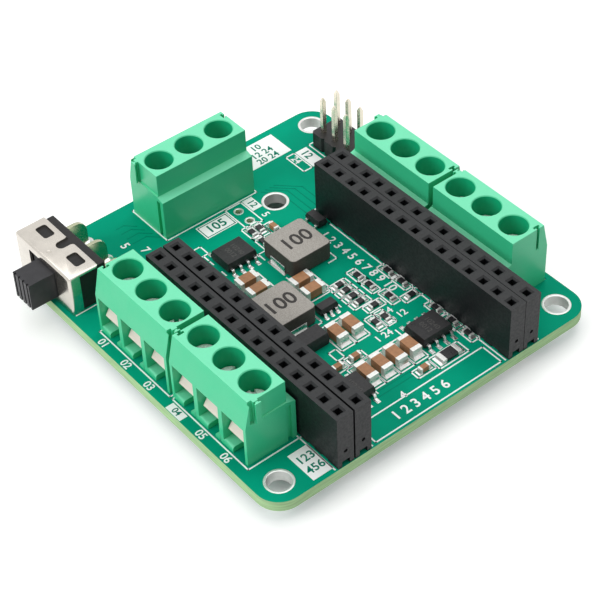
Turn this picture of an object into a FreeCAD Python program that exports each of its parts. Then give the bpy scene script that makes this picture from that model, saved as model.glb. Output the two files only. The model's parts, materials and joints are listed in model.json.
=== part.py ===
"""Motor driver carrier board: a circuit board with screw terminals, sockets and a power switch.

The frame: the origin is the centre of the front right mounting hole on the board's underside.
+X runs along the socket rows towards the right edge, +Y runs from the front row of screw
terminals to the back row, and +Z points up from the board.  All sizes are in millimetres.
"""
import FreeCAD, Part
import os
import re
import Sketcher

# Driving dimensions.  Each one is a cell of the spreadsheet and may be changed by itself.
SIZES = {
    "overrun": 0.5,               # a cutting solid past the face it opens
    # circuit board
    "board_thick": 1.6,
    "corner_radius": 3.4,
    "edge_inset": 3.3,            # board edge to the centre of a corner hole
    "mount_hole": 3.2,            # bore for an M3 screw
    "inner_hole_offset": 5.3,     # inner mounting hole, left of the socket strips
    "inner_hole_drop": 4.2,       # inner mounting hole, in front of the first back row
    "spare_drill": 1.0,           # unused wire holes beside the inner hole
    "spare_pitch": 2.5,
    "spare_shift": 1.6,           # unused wire holes, the first one left of the inner hole
    "spare_drop": 5.15,           # unused wire holes, in front of the inner hole
    # layout along Y
    "front_inset": 1.95,          # front edge to the front terminals
    "strip_gap": 0.25,            # terminals to the first socket strip
    "front_pair_gap": 0.25,       # between the two front strips
    "row_span": 27.94,            # first front row to first back row
    "back_pair_gap": 0.08,        # between the two back strips
    "back_gap": 1.03,             # second back row to the back terminals
    "back_inset": 1.25,           # back terminals to the back edge
    # layout along X
    "switch_inset": 1.05,         # left edge to the switch
    "switch_space": 4.15,         # switch to the first front terminal block
    "block_space": 0.65,          # one terminal block to the next
    "hole_space": 4.25,           # last terminal block to the corner hole's centre
    "strip_inset": 0.1,           # right edge to the end of the socket strips
    "left_inset": 2.0,            # left edge to the left terminal block
    # screw terminal block
    "poles": 3,
    "pole_pitch": 5.0,
    "end_margin": 0.1,            # beyond the outer poles at each end
    "block_depth": 7.55,
    "block_height": 10.15,
    "block_floor": 0.9,
    "well_wall": 0.7,             # screw well to the upper back face
    "ledge_low": 6.5,
    "ledge_high": 6.9,
    "brow_low": 6.3,              # height at which the wire face starts to lean back
    "brow_lean": 0.87,
    "partition": 0.8,
    "back_wall": 0.85,
    "cell_height": 5.9,           # underside of the front skirt
    "floor_notch": 1.9,           # opening in the floor at the front of each cell
    "floor_notch_start": 1.5,
    "floor_notch_depth": 1.9,
    "head_room": 0.15,            # around the screw's head in its well
    "well_lead_depth": 0.3,
    "well_back": 3.7,             # wire face to the screw's axis
    "groove_mouth": 0.5,          # T groove at one end, which takes the next block's rail
    "groove_room": 1.1,
    "groove_lip": 0.25,
    "groove_depth": 0.6,
    "groove_height": 3.6,
    "rear_slot": 0.7,
    "rear_slot_depth": 0.45,
    "rear_slot_start": 6.2,
    "rail_middle": 1.85,          # wire face to the middle of the rail and the groove
    "rail_thick": 0.35,
    "rail_reach": 0.42,
    "rail_height": 3.4,
    "rail_head": 0.8,
    # contact frame, wire guard and screw of one pole
    "metal_room": 0.15,           # frame to the partition at each side
    "frame_start": 2.4,
    "frame_gap": 0.2,             # frame to the back wall
    "frame_sheet": 0.6,
    "plate_thick": 0.75,
    "plate_start": 1.7,
    "pin_wide": 1.0,
    "pin_thick": 0.8,
    "pin_back": 4.1,
    "pin_room": 0.5,              # drilled hole over the pin's width
    "pin_fit": 0.3,               # floor opening of the housing over the pin
    "tail_length": 1.9,           # terminal pins below the board
    "guard_base": 3.0,
    "guard_thick": 0.35,
    "guard_start": 0.75,
    "guard_room": 0.1,            # guard to the frame above and behind it
    "guard_lip": 0.55,
    "guard_side_gap": 0.1,
    "screw_head": 3.6,
    "screw_top": 7.0,
    "head_height": 1.2,
    "screw_shank": 2.9,
    "shank_clearance": 0.05,
    "tip_gap": 0.02,
    "drive_slot": 0.6,
    "drive_depth": 0.6,
    # socket strips
    "pin_count": 15,
    "pin_pitch": 2.54,
    "strip_width": 2.5,
    "strip_height": 8.5,
    "strip_hole": 0.9,
    "strip_mouth": 1.3,
    "mouth_depth": 0.3,
    "strip_slot": 1.3,            # opening under each contact
    "strip_slot_height": 0.9,
    "end_notch_width": 1.2,
    "end_notch_depth": 0.6,
    "end_dimple": 0.6,
    "end_dimple_height": 2.5,
    "contact_sheet": 0.25,
    "contact_room": 0.05,         # fork to the wall of its well
    "contact_height": 6.4,
    "contact_gap": 0.4,
    "contact_foot": 1.0,
    "tail_wide": 0.6,
    "tail_room": 0.36,            # drilled hole over a pin's width
    "short_tail": 1.4,            # socket and header pins below the board
    # pin header
    "header_columns": 3,
    "header_rows": 2,
    "header_height": 2.5,
    "header_notch": 0.45,
    "header_pin": 0.64,
    "header_pin_top": 8.5,
    "header_tip": 0.5,
    "header_space": 3.5,          # header to the back left terminal block
    "header_inset": 1.13,         # header to the back edge
    # slide switch
    "switch_length": 12.85,
    "switch_height": 6.4,
    "switch_front": 0.65,         # front edge of the board to the shell's front face
    "switch_depth": 5.85,
    "shell_sheet": 0.35,
    "shell_cover": 4.75,          # depth of the shell's top plate
    "shell_flange": 1.65,
    "flange_height": 6.0,
    "window_start": 3.3,
    "window_foot": 0.9,
    "port_width": 2.6,
    "port_depth": 1.65,
    "port_side": 1.5,
    "port_front": 2.55,
    "notch_width": 1.5,
    "notch_depth": 2.3,
    "base_wall": 1.0,
    "base_floor": 0.9,
    "chamber_depth": 3.9,
    "knob_width": 3.8,
    "knob_height": 4.2,
    "knob_reach": 3.95,           # knob in front of the shell
    "knob_travel": 2.0,
    "knob_play": 0.15,
    "knob_groove": 0.35,
    "groove_count": 4,
    "slider_wing": 2.0,
    "slider_thick": 1.3,
    "slider_play": 0.1,           # slider to its chamber on each side
    "cover_gap": 0.3,             # chamber to the shell's cover
    "stem_root": 0.5,             # the stem's root inside the wing
    "wiper_sheet": 0.25,
    "wiper_height": 1.2,
    "wiper_gap": 0.5,             # the wiper's arms to the legs' contact ends
    "leg_pitch": 4.7,
    "leg_width": 1.3,
    "leg_sheet": 0.3,
    "leg_exit": 4.6,
    "leg_tip": 0.4,               # contact end of a leg inside the slider's chamber
    "leg_bend": 1.6,
    "leg_room": 0.2,              # drilled hole over a leg's width
    # surface mounted parts
    "coil_side": 6.6,
    "coil_height": 3.0,
    "coil_lift": 0.15,
    "coil_round": 0.6,
    "coil_tab_width": 3.0,
    "coil_tab_sheet": 0.15,
    "coil_tab_height": 1.2,
    "coil_tab_foot": 1.2,
    "chip_length": 4.9,
    "chip_width": 3.9,
    "chip_height": 1.45,
    "chip_lift": 0.15,
    "lead_pitch": 1.27,
    "lead_width": 0.4,
    "lead_sheet": 0.2,
    "lead_reach": 1.05,
    "lead_height": 0.75,
    "small_chip_length": 2.9,
    "small_chip_width": 1.6,
    "small_chip_height": 1.1,
    "small_lead_pitch": 0.95,
    "small_lead_reach": 0.6,
    "diode_length": 4.0,
    "diode_width": 2.6,
    "diode_height": 2.0,
    "big_cap_length": 3.2,
    "big_cap_width": 1.6,
    "big_cap_height": 1.4,
    "small_cap_length": 1.6,
    "small_cap_width": 0.8,
    "small_cap_height": 0.8,
    "film_height": 0.45,
    "shunt_height": 0.6,
}

# Places and sizes worked out from the driving dimensions.
DERIVED = {
    "right_edge": "edge_inset",
    "front_edge": "-edge_inset",
    "strip_length": "pin_count * pin_pitch",
    "block_length": "poles * pole_pitch + 2 * end_margin",
    "cell_width": "pole_pitch - partition",
    "cell_depth": "block_depth - back_wall",
    "well_drill": "screw_head + 2 * head_room",
    "well_lead": "well_drill + well_lead_depth",
    "block_step": "well_back + well_drill / 2 + well_wall",
    "metal_width": "cell_width - 2 * metal_room",
    "frame_end": "cell_depth - frame_gap",
    "guard_top": "guard_base + guard_thick",
    "guard_end": "frame_end - frame_sheet - guard_room",
    "plate_base": "guard_top + guard_room",
    "pin_drill": "pin_wide + pin_room",
    "contact_width": "strip_hole - 2 * contact_room",
    "tail_drill": "header_pin + tail_room",
    "leg_drill": "leg_width + leg_room",
    "window_width": "knob_width + knob_travel + 2 * knob_play",
    "window_height": "knob_height + 2 * knob_play",
    "front_blocks_y": "front_edge + front_inset",
    "row_a": "front_blocks_y + block_depth + strip_gap + strip_width / 2",
    "row_b": "row_a + strip_width + front_pair_gap",
    "row_c": "row_a + row_span",
    "row_d": "row_c + strip_width + back_pair_gap",
    "back_blocks_y": "row_d + strip_width / 2 + back_gap + block_depth",
    "back_edge": "back_blocks_y + back_inset",
    "right_block_x": "-hole_space - block_length",
    "left_block_x": "right_block_x - block_space - block_length",
    "switch_x": "left_block_x - switch_space - switch_length",
    "left_edge": "switch_x - switch_inset",
    "board_length": "right_edge - left_edge",
    "board_width": "back_edge - front_edge",
    "far_hole_x": "left_edge + edge_inset",
    "far_hole_y": "back_edge - edge_inset",
    "strip_x": "right_edge - strip_inset - strip_length",
    "first_pin": "strip_x + pin_pitch / 2",
    "inner_hole_x": "strip_x - inner_hole_offset",
    "inner_hole_y": "row_c - inner_hole_drop",
    "side_block_x": "left_edge + left_inset",
    "side_block_y": "(front_edge + back_edge + block_length) / 2",
    "top": "board_thick",
    "header_x": "left_block_x - header_space - header_columns * pin_pitch",
    "header_y": "back_edge - header_inset - header_rows * pin_pitch",
    "switch_y": "front_edge + switch_front",
    "chamber_half": "knob_width / 2 + slider_wing + knob_travel / 2 + knob_play",
    "window_middle": "window_start + window_width / 2",
    "knob_middle": "window_start + window_width - knob_play - knob_width / 2",
    "knob_base": "window_foot + knob_play",
}

# Terminal blocks: the corner where each starts, and its turn about Z in degrees.
BLOCKS = {
    "front_left": ("left_block_x", "front_blocks_y", 0),
    "front_right": ("right_block_x", "front_blocks_y", 0),
    "left": ("side_block_x", "side_block_y", -90),
    "back_left": ("left_block_x + block_length", "back_blocks_y", 180),
    "back_right": ("right_block_x + block_length", "back_blocks_y", 180),
}
STRIPS = {"front_outer": "row_a", "front_inner": "row_b", "back_inner": "row_c", "back_outer": "row_d"}

# Surface mounted parts: (x, y) from the first pin of the front row, and the turn about Z.
# An entry whose y starts from "row_span" stands beside the back rows and moves with them.
COILS = (("4.3", "18.9", 90), ("12.5", "9.6", 0))
CHIPS = (("-0.9", "12.2", 90), ("26.7", "22.3", 90), ("28.6", "7.7", 90))
FIVE_LEAD_CHIPS = (("14.8", "15.2", 90),)
THREE_LEAD_CHIPS = (("0.6", "row_span - 2.7", 0),)
DIODES = (("18.6", "9.6", 90),)
BIG_CAPACITORS = (
    ("4.25", "10.4", 90), ("6.65", "10.4", 90), ("8.9", "15.8", 90), ("11.3", "15.8", 90),
    ("19.5", "15.5", 0), ("19.5", "13.0", 0),
    ("27.3", "18.5", 0), ("27.3", "16.1", 0), ("27.3", "13.7", 0), ("27.3", "11.3", 0),
)
SMALL_CAPACITORS = (("24.0", "12.3", 90), ("31.2", "17.5", 90), ("-2.2", "20.0", 0), ("24.0", "9.4", 90))
SHUNTS = (("31.3", "21.6", 90),)
SMALL_RESISTORS = (
    ("14.5", "row_span - 1.9", 0), ("17.3", "row_span - 1.9", 0), ("20.0", "row_span - 2.6", 90),
    ("23.9", "row_span - 1.9", 0), ("27.1", "row_span - 1.9", 0), ("30.1", "row_span - 1.9", 0),
    ("12.4", "19.4", 90), ("13.8", "19.4", 90), ("15.2", "19.4", 90), ("16.6", "19.4", 90),
    ("12.6", "22.4", 0), ("15.0", "22.4", 0), ("18.3", "20.4", 90), ("18.3", "23.0", 0),
    ("-3.4", "17.2", 0), ("-1.0", "17.2", 0), ("-3.4", "18.5", 0), ("-0.6", "18.7", 90),
    ("20.9", "18.4", 0), ("20.9", "20.0", 0),
)

doc = FreeCAD.newDocument("motor_driver_board")


def fill_sheet():
    """Write each driving dimension to its own named cell."""
    sheet = doc.addObject("Spreadsheet::Sheet", "Sizes")
    for line, (alias, value) in enumerate(SIZES.items(), start=1):
        sheet.set(f"A{line}", alias.replace("_", " "))
        sheet.set(f"B{line}", str(value))
        sheet.setAlias(f"B{line}", alias)
    doc.recompute()


def formula(text):
    """Turn a formula in plain names into one that reads the spreadsheet's cells."""
    def swap(match):
        word = match.group()
        if word in DERIVED:
            return f"({formula(DERIVED[word])})"
        return f"Sizes.{word}" if word in SIZES else word
    return re.sub(r"[a-z_]+", swap, str(text))


def bind(item, **formulas):
    """Bind properties of an object to formulas; a double underscore stands for a dot."""
    for name, text in formulas.items():
        item.setExpression(name.replace("__", "."), formula(text))
    return item


def place(item, x="0", y="0", z="0", turn=0):
    """Put an object at a point given by formulas, turned about Z."""
    item.Placement = FreeCAD.Placement(FreeCAD.Vector(), FreeCAD.Rotation(turn, 0, 0))
    return bind(item, Placement__Base__x=x, Placement__Base__y=y, Placement__Base__z=z)


def box(name, size, corner):
    """A box by its size and its lowest corner."""
    item = doc.addObject("Part::Box", name)
    bind(item, Length=size[0], Width=size[1], Height=size[2])
    return place(item, *corner)


def middle_box(name, size, middle):
    """A box centred on a point in X and Y, standing on that point's height."""
    x, y, z = middle
    return box(name, size, (f"{x} - ({size[0]}) / 2", f"{y} - ({size[1]}) / 2", z))


def cylinder(name, diameter, height, base):
    """An upright cylinder on a point."""
    item = doc.addObject("Part::Cylinder", name)
    bind(item, Radius=f"({diameter}) / 2", Height=height)
    return place(item, *base)


def cone(name, low, high, height, base):
    """An upright cone frustum by its two diameters."""
    item = doc.addObject("Part::Cone", name)
    bind(item, Radius1=f"({low}) / 2", Radius2=f"({high}) / 2", Height=height)
    return place(item, *base)


def pyramid(name, low, high, height, middle):
    """A square frustum, low wide at the bottom and high wide at the top."""
    item = doc.addObject("Part::Wedge", name)
    bind(item, Xmin=f"-({low}) / 2", Xmax=f"({low}) / 2", Ymin="0", Ymax=height,
         Zmin=f"-({low}) / 2", Zmax=f"({low}) / 2", X2min=f"-({high}) / 2", X2max=f"({high}) / 2",
         Z2min=f"-({high}) / 2", Z2max=f"({high}) / 2")
    item.Placement = FreeCAD.Placement(FreeCAD.Vector(), FreeCAD.Rotation(0, 0, 90))
    x, y, z = middle
    return bind(item, Placement__Base__x=x, Placement__Base__y=y, Placement__Base__z=z)


def group(name, members):
    """One object that holds several separate solids."""
    item = doc.addObject("Part::Compound", name)
    item.Links = members
    return item


def cut(name, base, tools):
    """Take one or more shapes out of a base."""
    item = doc.addObject("Part::Cut", name)
    item.Base = base
    item.Tool = tools[0] if len(tools) == 1 else group(name + "_tools", tools)
    return item


def fuse(name, members):
    """Join shapes into one solid."""
    item = doc.addObject("Part::MultiFuse", name)
    item.Shapes = members
    item.Refine = True
    return item


def placed(label, members, x="0", y="0", z="0", turn=0):
    """A named sub-part that shows one or more master shapes at its own place."""
    item = group(label, members)
    return place(item, x, y, z, turn)


def outline(body, plane, points):
    """A closed sketch of straight lines on one of a body's planes, each corner bound by formulas."""
    sketch = body.newObject("Sketcher::SketchObject", body.Name + "_outline")
    planes = {item.Role: item for item in body.Origin.OriginFeatures}
    sketch.AttachmentSupport = [(planes[plane], "")]
    sketch.MapMode = "FlatFace"
    doc.recompute()
    values = [(value(x), value(y)) for x, y in points]
    for index, start in enumerate(values):
        end = values[(index + 1) % len(values)]
        sketch.addGeometry(Part.LineSegment(FreeCAD.Vector(*start, 0), FreeCAD.Vector(*end, 0)), False)
    for index, (x, y) in enumerate(points):
        following = (index + 1) % len(points)
        sketch.addConstraint(Sketcher.Constraint("Coincident", index, 2, following, 1))
        for kind, text, size in (("DistanceX", x, values[index][0]), ("DistanceY", y, values[index][1])):
            number = sketch.addConstraint(Sketcher.Constraint(kind, -1, 1, index, 1, size))
            sketch.setExpression(f"Constraints[{number}]", formula(text))
    return sketch


def value(text):
    """The number that a formula gives with the sizes as they are in the sheet."""
    words = {name: float(size) for name, size in SIZES.items()}
    text = re.sub(r"Sizes\.([a-z_]+)", lambda match: str(words[match.group(1)]), formula(text))
    return FreeCAD.Units.Quantity(text).Value


def profile_body(name, plane, points, length, middle=False):
    """A body padded from a straight-sided profile, from its plane or to both sides of it."""
    body = doc.addObject("PartDesign::Body", name)
    sketch = outline(body, plane, points)
    pad = body.newObject("PartDesign::Pad", name + "_pad")
    pad.Profile = sketch
    pad.Midplane = middle
    bind(pad, Length=length)
    return body


def board_holes():
    """Every small hole for a wire or a leg, as one group of upright drills."""
    drills = []

    def drill(x, y, diameter):
        name = f"drill_{len(drills) + 1}"
        drills.append(cylinder(name, diameter, "board_thick + 2 * overrun", (x, y, "-overrun")))

    for row in STRIPS.values():
        for number in range(SIZES["pin_count"]):
            drill(f"first_pin + {number} * pin_pitch", row, "tail_drill")
    for column in range(SIZES["header_columns"]):
        for row in range(SIZES["header_rows"]):
            drill(*header_place(column, row), "tail_drill")
    for number in (-1, 0, 1):
        drill(leg_x(number), "switch_y + switch_depth + leg_bend - leg_sheet / 2", "leg_drill")
    for block in BLOCKS:
        for pole in range(SIZES["poles"]):
            drill(*pole_place(block, pole, "pin_back"), "pin_drill")
    for number in (0, 1):
        x = f"inner_hole_x - spare_shift + {number} * spare_pitch"
        drill(x, "inner_hole_y - spare_drop", "spare_drill")
    return group("drills", drills)


def circuit_board():
    """The rounded board with its four mounting holes and every drilled hole."""
    corners = [("left_edge", "front_edge"), ("right_edge", "front_edge"),
               ("right_edge", "back_edge"), ("left_edge", "back_edge")]
    body = profile_body("board_blank", "XY_Plane", corners, "board_thick")
    doc.recompute()
    pad = body.Tip
    upright = [f"Edge{number}" for number, edge in enumerate(pad.Shape.Edges, start=1)
               if abs(edge.tangentAt(edge.FirstParameter).z) > 0.99]
    fillet = body.newObject("PartDesign::Fillet", "board_corners")
    fillet.Base = (pad, upright)
    bind(fillet, Radius="corner_radius")
    holes = body.newObject("Sketcher::SketchObject", "mounting_hole_sketch")
    planes = {item.Role: item for item in body.Origin.OriginFeatures}
    holes.AttachmentSupport = [(planes["XY_Plane"], "")]
    holes.MapMode = "FlatFace"
    centres = (("0", "0"), ("0", "far_hole_y"), ("far_hole_x", "far_hole_y"),
               ("inner_hole_x", "inner_hole_y"))
    for index, (x, y) in enumerate(centres):
        centre = FreeCAD.Vector(value(x), value(y), 0)
        holes.addGeometry(Part.Circle(centre, FreeCAD.Vector(0, 0, 1), value("mount_hole / 2")), False)
        number = holes.addConstraint(Sketcher.Constraint("Diameter", index, value("mount_hole")))
        holes.setExpression(f"Constraints[{number}]", formula("mount_hole"))
        for kind, text in (("DistanceX", x), ("DistanceY", y)):
            if value(text) == 0:
                axis = -2 if kind == "DistanceX" else -1
                holes.addConstraint(Sketcher.Constraint("PointOnObject", index, 3, axis))
                continue
            number = holes.addConstraint(Sketcher.Constraint(kind, -1, 1, index, 3, value(text)))
            holes.setExpression(f"Constraints[{number}]", formula(text))
    doc.recompute()
    pocket = body.newObject("PartDesign::Pocket", "mounting_holes")
    pocket.Profile = holes
    pocket.Type = "ThroughAll"
    pocket.Midplane = True
    return cut("circuit_board", body, [board_holes()])


def pole_place(block, pole, back="0"):
    """The point of one pole of a terminal block, a distance back from its wire face."""
    x, y, turn = BLOCKS[block]
    along = f"end_margin + {pole + 0.5} * pole_pitch"
    if turn == 0:
        return f"{x} + {along}", f"{y} + {back}"
    if turn == 180:
        return f"{x} - ({along})", f"{y} - {back}"
    return f"{x} + {back}", f"{y} - ({along})"


def terminal_housing():
    """One moulded terminal block, its wire face on the XZ plane and its length along +X."""
    profile = [("0", "0"), ("block_depth", "0"), ("block_depth", "ledge_low"), ("block_step", "ledge_high"),
               ("block_step", "block_height"), ("brow_lean", "block_height"), ("0", "brow_low")]
    body = profile_body("housing_blank", "YZ_Plane", profile, "block_length")
    tools = []
    for pole in range(SIZES["poles"]):
        centre = f"end_margin + {pole + 0.5} * pole_pitch"
        tag = f"cell_{pole + 1}"
        inner = ("cell_width", "cell_depth + 1", "cell_height - block_floor")
        tools.append(middle_box(tag + "_room", inner, (centre, "(cell_depth - 1) / 2", "block_floor")))
        notch = ("floor_notch", "floor_notch_depth + overrun", "block_floor + 2 * overrun")
        corner = (f"{centre} - cell_width / 2 + floor_notch_start", "-overrun", "-overrun")
        tools.append(box(tag + "_notch", notch, corner))
        well = (centre, "well_back", "cell_height - overrun / 5")
        tools.append(cylinder(tag + "_well", "well_drill", "block_height", well))
        lead = (centre, "well_back", "block_height - well_lead_depth")
        tools.append(cone(tag + "_lead", "well_drill", "well_lead", "well_lead_depth", lead))
        foot = ("pin_wide + pin_fit", "pin_thick + pin_fit", "block_floor + 2 * overrun")
        tools.append(middle_box(tag + "_pin_hole", foot, (centre, "pin_back", "-overrun")))
    groove_foot = "block_height - groove_height"
    tools.append(box("groove_mouth", ("groove_depth + overrun", "groove_mouth", "block_height"),
                     ("-overrun", "rail_middle - groove_mouth / 2", groove_foot)))
    tools.append(box("groove_room", ("groove_depth - groove_lip", "groove_room", "block_height"),
                     ("groove_lip", "rail_middle - groove_room / 2", groove_foot)))
    tools.append(box("rear_slot", ("rear_slot_depth + overrun", "rear_slot", "ledge_low + overrun"),
                     ("block_length - rear_slot_depth", "rear_slot_start", "-overrun")))
    shell = cut("housing_shell", body, tools)
    rail_foot = "block_height - rail_height"
    rail = box("end_rail", ("rail_reach + overrun / 5", "rail_thick", "rail_height"),
               ("block_length - overrun / 5", "rail_middle - rail_thick / 2", rail_foot))
    head = box("end_rail_head", ("rail_thick / 2", "rail_head", "rail_height"),
               ("block_length + rail_reach - rail_thick / 2", "rail_middle - rail_head / 2", rail_foot))
    return fuse("terminal_housing", [shell, rail, head])


def contact_frame():
    """The bent strip that one pole's wire is clamped on, centred on X, with its solder pin."""
    depth = "frame_end - frame_start"
    bottom = box("frame_bottom", ("metal_width", depth, "frame_sheet"),
                 ("-metal_width / 2", "frame_start", "block_floor"))
    rear = box("frame_rear", ("metal_width", "frame_sheet", "plate_base + plate_thick - block_floor"),
               ("-metal_width / 2", "frame_end - frame_sheet", "block_floor"))
    plate = box("frame_plate", ("metal_width", "frame_end - plate_start", "plate_thick"),
                ("-metal_width / 2", "plate_start", "plate_base"))
    pin = middle_box("frame_pin", ("pin_wide", "pin_thick", "block_floor + board_thick + tail_length"),
                     ("0", "pin_back", "-board_thick - tail_length"))
    whole = fuse("frame_blank", [bottom, rear, plate, pin])
    hole = cylinder("frame_hole", "screw_shank + 2 * shank_clearance", "plate_thick + 2 * overrun",
                    ("0", "well_back", "plate_base - overrun"))
    return cut("contact_frame", whole, [hole])


def wire_guard():
    """The leaf that the screw pushes down on the wire, its front lip turned up."""
    profile = [("guard_start", "guard_base + guard_thick"), ("guard_start", "guard_base"),
               ("guard_end", "guard_base"), ("guard_end", "guard_top"),
               ("guard_start + 2 * guard_thick", "guard_top"),
               ("guard_start + 2 * guard_thick", "guard_top + guard_lip / 2"),
               ("guard_start + guard_thick", "guard_top + guard_lip")]
    width = "metal_width - 2 * guard_side_gap"
    return profile_body("wire_guard", "YZ_Plane", profile, width, middle=True)


def clamp_screw():
    """A slotted pan-head screw, its axis at the well and its tip on the guard."""
    under_head = "screw_top - head_height"
    head = cylinder("screw_head_disc", "screw_head", "head_height", ("0", "well_back", under_head))
    tip = "guard_top + tip_gap"
    shank = cylinder("screw_shank_rod", "screw_shank", f"{under_head} - ({tip}) + head_height / 2",
                     ("0", "well_back", tip))
    whole = fuse("screw_blank", [head, shank])
    slot = middle_box("screw_slot", ("drive_slot", "screw_head + 1", "drive_depth + 1"),
                      ("0", "well_back", "screw_top - drive_depth"))
    return cut("clamp_screw", whole, [slot])


def terminal_blocks():
    """Five blocks of the same parts, each piece at its own place."""
    housing, frame, guard, screw = terminal_housing(), contact_frame(), wire_guard(), clamp_screw()
    nodes = []
    for block, (x, y, turn) in BLOCKS.items():
        nodes.append(placed(f"terminal_{block}_housing", [housing], x, y, "top", turn))
        frames = []
        for pole in range(SIZES["poles"]):
            spot = (*pole_place(block, pole), "top", turn)
            frames.append(placed(f"frame_{block}_{pole + 1}", [frame], *spot))
            nodes.append(placed(f"wire_guard_{block}_{pole + 1}", [guard], *spot))
            nodes.append(placed(f"clamp_screw_{block}_{pole + 1}", [screw], *spot))
        nodes.append(group(f"terminal_{block}_contacts", frames))
    return nodes


def strip_housing():
    """One socket strip, its first contact on the Z axis."""
    blank = box("strip_blank", ("strip_length", "strip_width", "strip_height"),
                ("-pin_pitch / 2", "-strip_width / 2", "0"))
    tools = []
    for number in range(SIZES["pin_count"]):
        x = f"{number} * pin_pitch"
        well = ("strip_hole", "strip_hole", "strip_height + 2 * overrun")
        tools.append(middle_box(f"strip_well_{number + 1}", well, (x, "0", "-overrun")))
        mouth = (x, "0", "strip_height - mouth_depth")
        tools.append(pyramid(f"strip_mouth_{number + 1}", "strip_hole", "strip_mouth", "mouth_depth",
                             mouth))
    for number, x in enumerate(("-pin_pitch / 2", "strip_length - pin_pitch / 2"), start=1):
        notch = ("2 * end_notch_depth", "end_notch_width", "strip_slot_height + 1")
        tools.append(middle_box(f"end_notch_{number}", notch, (x, "0", "-1")))
        dimple = middle_box(f"end_dimple_{number}", ("end_dimple / 2", "end_dimple", "end_dimple"),
                            (x, "0", "end_dimple_height - end_dimple / 2"))
        tools.append(dimple)
    return cut("strip_housing", blank, tools)


def fork_contact():
    """A two-leaved spring contact with its tail, as one bent sheet."""
    half, leaf = "contact_width / 2", "contact_width / 2 - contact_sheet"
    tail, depth = "tail_wide / 2", "-board_thick - short_tail"
    profile = [(f"-{half}", "contact_foot"), (f"-{tail}", "contact_foot"), (f"-{tail}", depth),
               (tail, depth), (tail, "contact_foot"), (half, "contact_foot"), (half, "contact_height"),
               (leaf, "contact_height"), (leaf, "2 * contact_foot"), (f"-({leaf})", "2 * contact_foot"),
               (f"-({leaf})", "contact_height"), (f"-{half}", "contact_height")]
    return profile_body("fork_contact", "XZ_Plane", profile, "contact_sheet", middle=True)


def socket_strips():
    """Four strips in two pairs, and the contacts of all of them as one group."""
    housing, fork = strip_housing(), fork_contact()
    nodes, forks = [], []
    for strip, row in STRIPS.items():
        nodes.append(placed(f"socket_{strip}_housing", [housing], "first_pin", row, "top"))
        for number in range(SIZES["pin_count"]):
            spot = (f"first_pin + {number} * pin_pitch", row, "top")
            forks.append(placed(f"fork_{strip}_{number + 1}", [fork], *spot))
    nodes.append(group("socket_contacts", forks))
    return nodes


def header_place(column, row):
    """The point of one pin of the header."""
    return f"header_x + {column + 0.5} * pin_pitch", f"header_y + {row + 0.5} * pin_pitch"


def pin_header():
    """A low insulator of chamfered squares and the square pins through it."""
    squares, pins = [], []
    for column in range(SIZES["header_columns"]):
        for row in range(SIZES["header_rows"]):
            tag = f"{column + 1}_{row + 1}"
            x, y = header_place(column, row)
            narrow = "pin_pitch - 2 * header_notch"
            for side, size in (("x", ("pin_pitch", narrow)), ("y", (narrow, "pin_pitch"))):
                bar = middle_box(f"header_{side}_{tag}", (*size, "header_height"), (x, y, "top"))
                squares.append(bar)
            shoulder = "top + header_pin_top - header_tip"
            shaft = middle_box(f"header_shaft_{tag}", ("header_pin", "header_pin",
                               f"{shoulder} + short_tail"), (x, y, "-short_tail"))
            tip = pyramid(f"header_point_{tag}", "header_pin", "header_pin / 2", "header_tip",
                          (x, y, shoulder))
            pins.append(fuse(f"header_pin_{tag}", [shaft, tip]))
    pin_group = group("pin_header_pins", pins)
    body = cut("pin_header_body", fuse("header_blank", squares), [pin_group])
    return [body, pin_group]


def in_switch(size, corner):
    """A size and a corner of the switch turned into the board's frame."""
    x, y, z = corner
    return size, (f"switch_x + {x}", f"switch_y + {y}", f"top + {z}")


def switch_shell():
    """The bent sheet over the switch: front, top and two narrow end flanges."""
    front_size = ("switch_length", "shell_sheet", "switch_height")
    front = box("shell_front", *in_switch(front_size, ("0", "0", "0")))
    cover = box("shell_cover_plate", *in_switch(("switch_length", "shell_cover", "shell_sheet"),
                                                ("0", "0", "switch_height - shell_sheet")))
    flanges = [box(f"shell_flange_{number}", *in_switch(("shell_sheet", "shell_flange", "flange_height"),
                                                        (x, "0", "0")))
               for number, x in enumerate(("0", "switch_length - shell_sheet"), start=1)]
    whole = fuse("shell_blank", [front, cover, *flanges])
    window = box("shell_window", *in_switch(("window_width", "shell_sheet + 2 * overrun", "window_height"),
                                            ("window_start", "-overrun", "window_foot")))
    ports = [box(f"shell_port_{number}", *in_switch(("port_width", "port_depth", "shell_sheet + 2 * overrun"),
                                                    (x, "port_front", "switch_height - shell_sheet - overrun")))
             for number, x in enumerate(("port_side", "switch_length - port_side - port_width"), start=1)]
    notch_middle = "shell_cover - notch_depth + notch_width / 2"
    under_cover = "switch_height - shell_sheet - overrun"
    notch = box("shell_notch", *in_switch(("notch_width", "notch_depth", "shell_sheet + 2 * overrun"),
                ("(switch_length - notch_width) / 2", notch_middle, under_cover)))
    round_end = cylinder("shell_notch_end", "notch_width", "shell_sheet + 2 * overrun",
                         ("switch_x + switch_length / 2", f"switch_y + {notch_middle}",
                          f"top + {under_cover}"))
    return cut("switch_shell", whole, [window, *ports, notch, round_end])


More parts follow.
